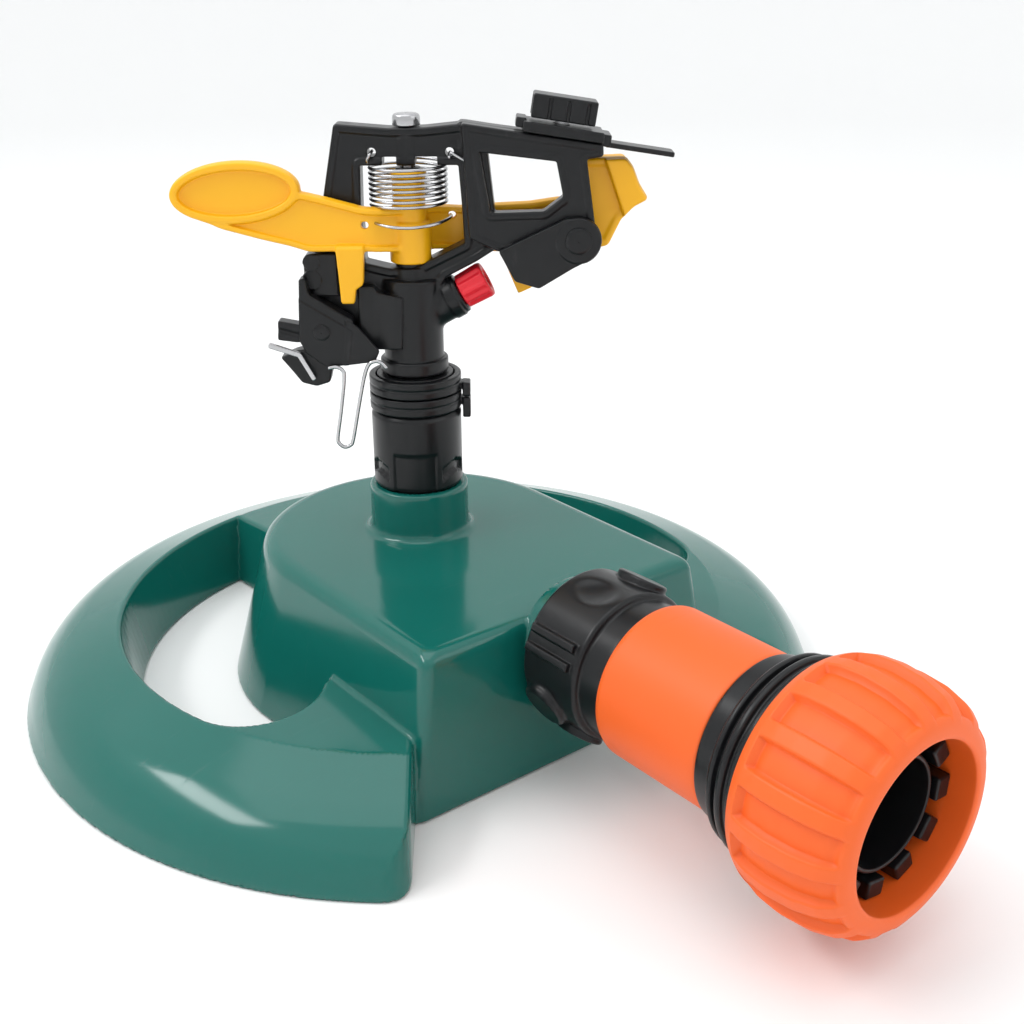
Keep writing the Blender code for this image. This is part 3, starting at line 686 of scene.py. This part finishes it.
print("swivel")
swivel = {
    "panels": 6, "panelDepth": 0.55, "panelHigh": 59.2, "notchDepth": 0.9, "notchHeight": 54.6,
    "outline": [(9.2, 77.5), (7.2, 77.5), (7.2, 66.9), (9.3, 66.9), (9.3, 51.0), (7.2, 51.0), (7.2, 39.5),
                (9.3, 39.5), (9.3, 49.75), (10.6, 49.75), (10.9, 50.4), (10.9, 67.6), (10.4, 68.4),
                (9.9, 68.8), (9.2, 68.9)],
}


def sleeveShape(r, z, angle):
    # six flats low on the sleeve: every other one is sunk, and those between hold a slanting notch
    s = swivel
    place = (angle - headAngle + math.pi / 2) * s["panels"] / (2 * math.pi) + 0.5
    phase, number = place % 1, np.floor(place) % 2
    outside = smoothStep(r, 10.0, 10.6)
    low = (1 - smoothStep(z, s["panelHigh"] - 0.3, s["panelHigh"] + 0.1))
    sunk = s["panelDepth"] * smoothStep(0.5 - np.abs(phase - 0.5), 0.0, 0.05) * (number == 0)
    slant = z - s["notchHeight"] + 4.0 * (np.abs(phase - 0.5) - 0.2)
    notch = s["notchDepth"] * smoothStep(0.5 - np.abs(phase - 0.5), 0.10, 0.14)
    notch = notch * smoothStep(-np.abs(slant), -1.5, -1.2)
    return r - outside * low * (sunk + notch * (number == 1)), z


def makeSwivel():
    sleeve = turned("swivelSleeve", swivel["outline"], atSpindle, radius=0.3, count=384, spacing=0.5,
                    shape=sleeveShape)
    fit(sleeve,
        blackPlastic, "black_plastic", "base", "bearing_sleeve")


collars = (  # height of the ring's foot, then the foot and top of its stop
    ("frictionCollarLower", "lower_collar", "friction_collar_lower", 69.0, 66.2, 71.1),
    ("frictionCollarUpper", "upper_collar", "friction_collar_upper", 73.3, 71.5, 74.9),
)


def collarField(low, stopLow, stopHigh):
    def field(x, y, z):
        # a flat ring with a rounded rim, and a stop that hangs beside it on a short arm
        radial = lengthOf(x, y)
        ring = fieldSlab(np.abs(radial - 10.3) - 0.8, z, low, low + 4.0, 0.35)
        groove = lengthOf(radial - 11.25, z - low - 2.0) - 0.35
        ring = without(ring, groove, 0.2)
        arm = fieldBox(x, y, z, (10.4, -1.9, stopHigh - 1.6), (12.4, 1.9, stopHigh - 0.1), 0.3)
        stop = fieldBox(x, y, z, (11.4, -2.2, stopLow), (13.3, 2.2, stopHigh), 0.4)
        return softMin(ring, softMin(arm, stop, 0.5), 0.3)
    return field


def makeCollars():
    for name, body, node, low, stopLow, stopHigh in collars:
        piece = moulded(name, collarField(low, stopLow, stopHigh), (-11.2, -11.2, min(low, stopLow)),
                        (13.4, 11.2, low + 4.0), step=0.3, at=onHead)
        fit(piece, blackPlastic, "black_plastic", body, node)


makeSwivel()
makeCollars()

print("head")
head = {
    "plate": (-3.6, 3.6), "web": 3.15, "rim": 1.6,
    "barrel": 4.75, "tube": 7.1, "neck": 8.1, "neckLow": 77.9, "tubeTop": 100.4,
    "tripX": -20.6, "tripHeight": 89.4, "guardX": 38.6, "guardHeight": 110.2,
}
bridgeOutline = roundedOutline([
    (-15.9, 135.2), (-4.0, 134.2), (4.0, 134.3), (13.2, 135.2), (17.6, 134.3), (19.6, 116.0),
    (20.2, 107.6), (15.4, 104.6), (8.0, 100.8), (4.0, 92.0), (-7.0, 90.0), (-12.0, 85.7),
    (-23.6, 85.7), (-23.8, 98.0), (-24.6, 102.4), (-24.6, 105.2), (-21.6, 107.4), (-19.2, 118.8)], 0.7)
mainWindow = roundedOutline([
    (-10.6, 126.3), (11.7, 126.3), (12.4, 116.4), (12.7, 108.6), (2.3, 103.6), (-4.3, 102.7),
    (-10.4, 104.2), (-10.8, 116.5)], 0.5)
jetFrameOutline = roundedOutline(np.concatenate([
    np.array([(12.6, 135.6), (24.2, 133.8), (43.8, 130.9), (43.9, 128.4), (40.2, 127.8), (42.3, 113.2)]),
    arcPoints((38.7, 109.6), 5.2, 20, -120, 9),
    np.array([(30.0, 106.8), (20.2, 107.6), (14.0, 110.5)])]), 0.6)
jetWindow = roundedOutline([(16.4, 129.5), (33.6, 127.4), (35.2, 119.6), (30.8, 116.3), (18.7, 116.0)], 0.5)
topBarOutline = roundedOutline([(11.9, 135.6), (24.2, 133.9), (43.8, 130.9), (43.9, 128.4), (34.0, 127.7),
                                (16.4, 129.6), (12.1, 129.9)], 0.5)
catchOutline = roundedOutline([(-12.2, 84.2), (-2.2, 84.8), (-1.6, 97.0), (-7.5, 98.0), (-8.6, 99.4),
                                (-12.2, 99.6)], 0.5)


def headField(u, v, z):
    h = head
    radial = lengthOf(u, v)
    plateLow, plateHigh = h["plate"]
    flat = fieldOutline(u, z, bridgeOutline)
    window = fieldOutline(u, z, mainWindow)
    # the bridge: a thin web with a thick rim round its outline and its window
    flat = np.maximum(flat, -window)
    web = fieldSlab(flat, v, -h["web"], h["web"], 0.4)
    rim = fieldSlab(np.maximum(flat, -flat - h["rim"]), v, plateLow, plateHigh, 0.45)
    body = softMin(web, rim, 0.5)
    jetFlat = np.maximum(fieldOutline(u, z, jetFrameOutline), -fieldOutline(u, z, jetWindow))
    jetWeb = fieldSlab(jetFlat, v, -6.75, -2.9, 0.3)
    jetRim = fieldSlab(np.maximum(jetFlat, -jetFlat - 1.5), v, -7.0, -2.6, 0.4)
    body = softMin(body, softMin(jetWeb, jetRim, 0.4), 0.6)
    barOutline = fieldOutline(u, z, topBarOutline)
    body = softMin(body, fieldSlab(barOutline, v, -3.2, 3.4, 0.4), 0.6)
    # tube, neck ring, arm seat and the barrel of the jet
    tube = fieldRod(radial, z, h["tube"], h["neckLow"], h["tubeTop"], 0.5)
    neck = fieldRod(radial, z, h["neck"], h["neckLow"], 81.3, 0.5)
    seat = fieldRod(radial, z, 4.7, 98.0, 103.0, 0.4)
    boss = fieldRod(radial, z, 3.5, 126.2, 133.6, 0.5)
    along = u * math.cos(jetAngle) + (z - jetRootHeight) * math.sin(jetAngle)
    off = (z - jetRootHeight) * math.cos(jetAngle) - u * math.sin(jetAngle)
    jetRadial = lengthOf(off, v)
    barrel = fieldRod(jetRadial, along, h["barrel"], 0.0, 13.2, 0.4)
    flange = fieldRod(jetRadial, along, 5.1, 9.6, 12.2, 0.4)
    body = softMin(body, softMin(tube, barrel, 1.2), 0.7)
    body = softMin(body, softMin(softMin(neck, seat, 0.5), softMin(boss, flange, 0.3), 0.3), 0.4)
    # the block beside the tube that the trip works against, and the post above the trip
    block = fieldSlab(fieldOutline(u, z, catchOutline), v, -7.6 + 1.4 * smoothStep(-u, 3.0, 9.0), -1.0, 0.4)
    post = fieldBox(u, v, z, (-22.6, -5.6, 97.0), (-16.5, 0.0, 107.0), 0.5)
    knuckle = lengthOf(u + 22.6, z - 105.0) - 1.9
    knuckle = np.maximum(knuckle, np.abs(v + 2.8) - 2.9)
    lower = np.maximum(lengthOf(u + 22.7, z - 100.9) - 2.2, np.abs(v + 2.8) - 2.9)
    body = softMin(softMin(body, block, 0.12), softMin(post, softMin(knuckle, lower, 0.4), 0.4), 0.4)
    # slots, bores and small holes
    for low, high in (((-5.5, -8, 125.6), (-2.3, 8, 128.1)), ((1.9, -8, 125.6), (6.9, 8, 128.1))):
        body = without(body, fieldBox(u, v, z, low, high, 0.2), 0.2)
    for place, size in ((-7.8, 1.0), (9.7, 1.0)):
        body = without(body, lengthOf(u - place, z - 129.1) - size, 0.2)
    body = without(body, fieldRod(radial, z, 5.9, 70.0, 84.4, 0.2), 0.3)
    body = without(body, fieldRod(radial, z, 4.2, 84.0, 92.0, 0.2), 0.3)
    body = without(body, fieldRod(radial, z, 1.8, 95.0, 140.0, 0.1), 0.2)
    body = without(body, fieldRod(jetRadial, along, 3.2, 1.0, 20.0, 0.2), 0.3)
    body = without(body, fieldRod(lengthOf(u - h["tripX"], z - h["tripHeight"]), v, 1.3, -9.0, 2.0, 0.1), 0.2)
    body = without(body, fieldRod(lengthOf(u - h["guardX"], z - h["guardHeight"]), v, 2.15, -9.0, -4.0, 0.1), 0.2)
    out, rise = u - knobPlace[0], z - knobPlace[2]
    tilted = out * math.cos(knobTilt) - rise * math.sin(knobTilt)
    upright = out * math.sin(knobTilt) + rise * math.cos(knobTilt)
    return without(body, fieldRod(lengthOf(tilted, v - knobPlace[1]), upright, 1.9, -8.0, 4.0, 0.1), 0.2)


def makeHead():
    fit(moulded("headFrame", headField, (-25, -8.3, 77.7), (44.6, 8.3, 136.2), step=0.36, at=onHead),
        blackPlastic, "black_plastic", "head", "head_frame")


makeHead()

jet = {
    "ribs": 12, "ribDepth": 0.35,
    "outline": [(1.3, 20.0), (1.9, 7.5), (2.9, 7.5), (2.9, 13.45), (4.1, 13.45), (4.35, 19.4), (4.0, 20.1),
                (2.6, 20.1), (1.9, 19.0)],
}
pivotOutline = [(0.02, 137.3), (2.3, 137.3), (3.0, 136.9), (3.15, 136.2), (3.15, 134.6), (1.5, 134.5),
                (1.5, 96.5), (0.02, 96.5)]


def nozzleShape(r, z, angle):
    # soft flutes along the outside
    wave = 0.5 - 0.5 * np.cos(angle * jet["ribs"])
    outside = smoothStep(r, 3.6, 4.0) * smoothStep(z, 13.6, 14.0) * (1 - smoothStep(z, 19.0, 20.0))
    return r - jet["ribDepth"] * wave * outside, z


def makeNozzle():
    fit(turned("jetNozzle", jet["outline"], alongJet, radius=0.35, count=144, spacing=0.4, shape=nozzleShape),
        redPlastic, "red_plastic", "head", "jet_nozzle")


def makePivotPin():
    fit(turned("pivotPin", pivotOutline, onHead, radius=0.3, count=64, spacing=1.0),
        steel, "spring_steel", "head", "pivot_pin")


spring = {
    "radius": 8.75, "wire": 0.36, "turns": 7.75, "low": 117.4, "high": 126.4, "start": 190.0,
    "rightLeg": [(9.7, -5.0, 128.2), (9.8, -3.4, 129.0), (10.2, -4.2, 129.0), (12.0, -4.4, 128.0),
                 (14.2, -4.4, 126.8)],
    "leftLeg": [(-8.6, -3.0, 126.6), (-8.8, -3.9, 127.4), (-8.2, -4.3, 128.6), (-7.8, -3.0, 129.2),
                (-7.8, -1.0, 129.2)],
    "loopRadius": 9.6, "loopHeight": 113.9, "loopWave": 0.5,
}


def makeSpring():
    # a helix that climbs from low to high, ending in a straight leg that hooks into the bridge
    s = spring
    t = np.linspace(0, 1, int(s["turns"] * 48))
    angle = math.radians(s["start"]) + 2 * math.pi * s["turns"] * t
    helix = np.stack([s["radius"] * np.cos(angle), s["radius"] * np.sin(angle),
                      s["low"] + (s["high"] - s["low"]) * t], 1)
    fit(wireAlong("armSpring", helix, s["wire"], onHead), steel, "spring_steel", "head", "arm_spring")
    for name, leg, across in (("springLegRight", "rightLeg", (0, 1, 0.3)), ("springLegLeft", "leftLeg", (1, 0, 0.2))):
        fit(wireAlong(name, smoothPath(s[leg], 40), s["wire"], onHead, sides=12, across=across),
            steel, "spring_steel", "head")
    sweep = np.radians(np.linspace(206, 372, 60))
    loop = np.stack([s["loopRadius"] * np.cos(sweep), s["loopRadius"] * np.sin(sweep),
                     s["loopHeight"] + s["loopWave"] * np.cos(2 * sweep)], 1)
    fit(wireAlong("springLoop", loop, s["wire"], onHead), steel, "spring_steel", "rocker")


makeNozzle()
makePivotPin()
makeSpring()

print("rocker arm")
rocker = {
    "web": 0.9, "dish": 0.45, "flange": 2.0, "flangeDepth": 1.3, "ovalRim": 1.8, "ovalSize": (14.5, 6.75),
    "ovalPlace": (-38.4, 121.0), "offset": 6.1, "crossing": 10.5,
}
armOutline = roundedOutline([
    (-27.0, 120.2), (-23.8, 121.0), (-18.3, 119.7), (-10.1, 117.5), (0.0, 116.5), (11.4, 115.6),
    (18.8, 116.1), (27.8, 116.5), (34.8, 117.5), (43.4, 117.0), (43.6, 107.4), (30.0, 104.8), (11.4, 105.6),
    (0.0, 106.9), (-10.0, 107.9), (-22.5, 107.9), (-26.6, 109.2), (-32.9, 110.7), (-42.1, 113.2),
    (-47.0, 115.6), (-36.0, 118.0)], 1.0)
footOutline = roundedOutline([(-16.3, 109.0), (-15.6, 96.2), (-12.6, 96.2), (-12.2, 99.3), (-10.4, 100.6),
                              (-9.9, 109.0)], 0.5)
scoopOutline = roundedOutline([
    (39.4, 126.9), (49.4, 127.2), (51.0, 125.2), (52.5, 121.4), (54.6, 118.1), (51.4, 116.4), (48.7, 113.6),
    (45.8, 107.6), (42.0, 106.6), (39.4, 112.0)], 0.7)
wedgeOutline = roundedOutline([(20.4, 106.4), (25.0, 95.4), (28.3, 96.9), (32.4, 104.0), (28.0, 106.6)], 0.5)


def rockerField(u, v, z):
    r = rocker
    radial = lengthOf(u, v)
    # the arm runs in front of the left post, crosses the pin and runs behind the right frame
    turn = np.clip(u / r["crossing"], -1, 1) * math.pi / 2
    centre = r["offset"] * np.sin(turn)
    slope = r["offset"] * np.cos(turn) * math.pi / 2 / r["crossing"]
    across = (v - centre) / np.sqrt(1 + slope * slope)
    bar = fieldOutline(u, z, armOutline)
    # the dish's edge is an ellipse tilted a little: its level q, made a distance by its slope
    wide, high = r["ovalSize"]
    ox, oz = u - r["ovalPlace"][0], z - r["ovalPlace"][1]
    tiltX, tiltZ = ox * 0.9985 + oz * 0.055, oz * 0.9985 - ox * 0.055
    q = lengthOf(tiltX / wide, tiltZ / high)
    oval = q * (q - 1) / np.maximum(lengthOf(tiltX / wide ** 2, tiltZ / high ** 2), 1e-6)
    barOnly = np.maximum(bar, -oval)
    web = fieldSlab(np.minimum(bar, oval), across, -r["web"], r["web"], 0.3)
    web = without(web, fieldSlab(oval + 1.0, across, -6.0, -r["dish"], 0.4), 0.3)
    flange = fieldSlab(np.maximum(barOnly, -bar - r["flangeDepth"]), across, -r["flange"], r["flange"], 0.4)
    rim = fieldSlab(np.maximum(oval, -oval - r["ovalRim"]), across, -2.1, 2.1, 0.55)
    arm = softMin(softMin(web, flange, 0.6), rim, 0.6)
    arm = np.maximum(arm, u - 43.8)
    foot = fieldSlab(fieldOutline(u, z, footOutline), v, -9.6, -6.7, 0.4)
    link = fieldBox(u, v, z, (-16.2, -9.0, 107.6), (-10.0, -4.4, 109.4), 0.3)
    hub = fieldRod(radial, z, 4.8, 104.0, 113.4, 0.5)
    spool = fieldRod(radial, z, 3.75, 110.0, 124.7, 0.4)
    crown = fieldRod(radial, z, 4.15, 123.2, 124.7, 0.3)
    # the scoop is a plate with a wall behind its edge and a raised lip along its far side
    scoop = fieldOutline(u, z, scoopOutline)
    wall = fieldSlab(np.maximum(scoop, -scoop - 1.4), v, -0.6, 7.3, 0.5)
    plate = fieldSlab(scoop, v, -0.2, 1.4, 0.5)
    lip = fieldSlab(np.maximum(np.maximum(scoop, 47.2 - u + (120.0 - z) * 0.36), 110.0 - z), v, -2.2, 2.0, 0.7)
    shelf = softMin(lip, fieldSlab(np.maximum(scoop, np.abs(z - 114.6) - 0.8), v, 0.0, 7.0, 0.3), 0.4)
    wedge = fieldSlab(fieldOutline(u, z, wedgeOutline), v, 2.9, 7.1, 0.4)
    arm = softMin(softMin(arm, softMin(foot, link, 0.6), 0.5), softMin(hub, softMin(spool, crown, 0.3), 0.5), 0.8)
    arm = softMin(arm, softMin(softMin(wall, plate, 0.8), softMin(shelf, wedge, 0.4), 0.5), 0.6)
    for place, height in ((-9.7, 113.6), (9.6, 113.9)):
        arm = without(arm, fieldRod(lengthOf(u - place, z - height), v, 0.85, -12.0, 12.0, 0.1), 0.2)
    return without(arm, fieldRod(radial, z, 1.8, 100.0, 130.0, 0.1), 0.3)


def makeRocker():
    fit(moulded("rockerArm", rockerField, (-53.2, -9.8, 95), (55, 8.4, 128), step=0.42, at=onHead),
        yellowPlastic, "yellow_plastic", "rocker", "rocker_arm")


makeRocker()

print("trip")
leverOutline = roundedOutline([(-25.3, 101.8), (-26.0, 87.5), (-24.6, 84.5), (-19.8, 80.9), (-14.5, 81.6),
                               (-13.2, 92.0), (-14.7, 92.9), (-23.2, 98.2), (-23.7, 101.8)], 0.7)
apronOutline = roundedOutline([(-16.0, 81.3), (-8.6, 82.2), (-7.4, 84.8), (-12.6, 91.0), (-15.0, 92.4)], 0.6)
seatOutline = roundedOutline([(-31.0, 87.5), (-30.7, 92.1), (-26.9, 91.4), (-25.4, 91.0), (-25.4, 87.0),
                              (-26.4, 86.9)], 0.5)
camOutline = roundedOutline([(-30.7, 83.4), (-28.2, 80.2), (-26.0, 77.2), (-22.6, 76.3), (-19.4, 77.3),
                             (-18.6, 80.6), (-19.5, 82.8), (-24.2, 85.4), (-26.8, 85.0)], 0.6)
clipPath = roundedOutline([(-33.1, 86.2), (-26.3, 83.9), (-23.2, 78.1), (-22.3, 78.6), (-25.6, 84.9),
                           (-32.8, 87.4)], 0.4)
tripPinOutline = [(0.02, 9.5), (1.3, 9.5), (1.9, 9.3), (1.9, 9.1), (1.15, 9.05), (1.15, -1.5), (0.02, -1.5)]
tripWirePath = [(-19.2, 81.2), (-17.6, 81.4), (-16.2, 80.6), (-15.9, 78.6), (-17.1, 70.5), (-18.2, 64.2),
                (-18.0, 62.6), (-16.8, 61.6), (-15.4, 62.0), (-14.6, 63.4), (-13.0, 71.0), (-11.3, 78.6),
                (-10.1, 81.8), (-8.6, 82.7), (-7.1, 82.4), (-6.0, 81.2)]


def leverField(u, v, z):
    # a block with a notch for the arm's foot, a stepped front and a bored pivot
    flat = fieldOutline(u, z, leverOutline)
    block = fieldSlab(flat, v, -8.5, -4.1, 0.5)
    front = fieldSlab(np.maximum(flat, z - 92.0 + (u + 14.7) * 0.62 + 1.6), v, -9.0, -4.6, 0.4)
    apron = fieldSlab(fieldOutline(u, z, apronOutline), v, -8.9, -8.0, 0.3)
    bore = fieldRod(lengthOf(u - head["tripX"], z - head["tripHeight"]), v, 1.25, -12.0, 0.0, 0.1)
    return without(softMin(softMin(block, front, 0.3), apron, 0.3), bore, 0.3)


def makeTrip():
    pieces = (("tripLever", leverField, (-26.2, -9.1, 80.5), (-7.2, -4, 102), "trip_lever"),
              ("tripSeat", lambda u, v, z: without(fieldSlab(fieldOutline(u, z, seatOutline), v, -8.6, -4.6, 0.4),
                                                   fieldBar(u, v, z, (-32, -9.2, 90), (-26, -9.2, 88.4), 1.1), 0.3),
               (-31.2, -8.7, 86.7), (-25.3, -4.5, 92.3), "trip_spring_seat"),
              ("tripCam", lambda u, v, z: fieldSlab(fieldOutline(u, z, camOutline), v, -8.8, -4.4, 0.6),
               (-31, -9, 76.2), (-18.4, -4.3, 85.6), "trip_cam"))
    for name, field, low, high, part in pieces:
        fit(moulded(name, field, low, high, step=0.28, at=onHead), blackPlastic, "black_plastic", "lever", part)
    clip = moulded("tripClip", lambda u, v, z: fieldSlab(fieldOutline(u, z, clipPath), v, -10.5, -9.35, 0.25),
                   (-33.2, -10.6, 78), (-22.2, -9.3, 87.5), step=0.2, at=onHead)
    fit(clip, steel, "spring_steel", "lever", "trip_clip")
    seat = placingInside(onHead, turnAbout("X", math.pi / 2), (head["tripX"], 0, head["tripHeight"]))
    fit(turned("tripPin", tripPinOutline, seat, radius=0.2, count=48, spacing=0.6),
        blackPlastic, "black_plastic", "head", "trip_pin")
    loop = smoothPath([(u, -9.9, z) for u, z in tripWirePath], 150)
    fit(wireAlong("tripWire", loop, 0.44, onHead, across=(0, 1, 0)), steel, "spring_steel", "wire", "trip_wire")


makeTrip()

print("range knob and jet guard")
guardOutline = roundedOutline(np.concatenate([
    np.array([(20.5, 107.9), (24.2, 101.0), (29.7, 99.3), (37.4, 103.9)]),
    arcPoints((38.6, 110.2), 5.2, -75, 55, 8), np.array([(36.0, 115.2), (30.0, 112.4)])]), 0.6)
guardPinOutline = [(0.02, 10.2), (2.4, 10.2), (3.0, 9.95), (3.0, 9.65), (1.85, 9.6), (1.85, 5.0), (0.02, 5.0)]


def guardField(u, v, z):
    plate = fieldSlab(fieldOutline(u, z, guardOutline), v, -9.1, -7.4, 0.35)
    radial = lengthOf(u - head["guardX"], z - head["guardHeight"])
    boss = fieldRod(radial, v, 5.1, -9.4, -7.4, 0.4)
    return without(softMin(plate, boss, 0.4), fieldRod(radial, v, 1.9, -14.0, 0.0, 0.1), 0.2)


def knobField(x, y, z):
    # a block grip with upright grooves in its long sides
    knob = fieldBox(x, y, z, (-7.2, -4.4, 3.4), (7.2, 4.4, 8.6), 0.45)
    for place in (-3.2, 1.0, 5.2):
        knob = without(knob, fieldBox(x, np.abs(y), z, (place - 0.35, 4.0, 2.0), (place + 0.35, 5.4, 7.9), 0.15), 0.2)
    knob = without(knob, fieldBox(np.abs(x), y, z, (6.9, -2.6, 2.0), (8.0, 2.6, 7.9), 0.15), 0.2)
    return without(knob, fieldRod(lengthOf(x, y), z, 1.9, 0.0, 7.0, 0.1), 0.2)


def flapField(x, y, z):
    # the seat below the knob, a hooked end, and the thin blade over the jet
    seat = fieldBox(x, y, z, (-8.6, -6.2, 0.3), (9.4, 6.2, 2.6), 0.35)
    hook = fieldBox(x, y, z, (-10.3, -4.0, 0.9), (-8.0, 4.0, 3.1), 0.4)
    neck = fieldBox(x, y, z, (8.6, -4.6, -0.4), (11.2, 4.6, 2.2), 0.35)
    blade = fieldBox(x, y, z, (10.2, -3.4, -0.6), (25.8, 3.4, 0.5), 0.3)
    body = softMin(softMin(seat, hook, 0.3), softMin(neck, blade, 0.4), 0.3)
    return without(body, fieldRod(lengthOf(x, y), z, 1.9, -2.0, 5.0, 0.1), 0.2)


def makeRangeParts():
    fit(moulded("jetGuard", guardField, (20.3, -9.6, 99), (44, -7.3, 115.4), step=0.28, at=onHead),
        blackPlastic, "black_plastic", "guard", "jet_guard")
    fit(moulded("rangeKnob", knobField, (-7.3, -4.5, 3.3), (7.3, 4.5, 8.7), step=0.26, at=onKnob),
        blackPlastic, "black_plastic", "knob", "range_knob")
    fit(moulded("deflectorFlap", flapField, (-10.4, -6.3, -0.7), (25.9, 6.3, 3.2), step=0.28, at=onKnob),
        blackPlastic, "black_plastic", "flap", "deflector_flap")
    seat = placingInside(onHead, turnAbout("X", math.pi / 2), (head["guardX"], 0, head["guardHeight"]))
    fit(turned("guardPin", guardPinOutline, seat, radius=0.25, count=64, spacing=0.6),
        blackPlastic, "black_plastic", "head", "guard_pin")


makeRangeParts()

print("kept frame parts")
slotMaterials = {"green_plastic": greenPlastic, "black_plastic": blackPlastic, "yellow_plastic": yellowPlastic,
                 "orange_plastic": orangePlastic, "red_plastic": redPlastic, "seal_rubber": sealRubber,
                 "spring_steel": steel}
for part in frame["record"]["subparts"]:
    held = nodes[part["node"]]
    held.data.materials.clear()
    held.data.materials.append(slotMaterials[part["material_slot"]])
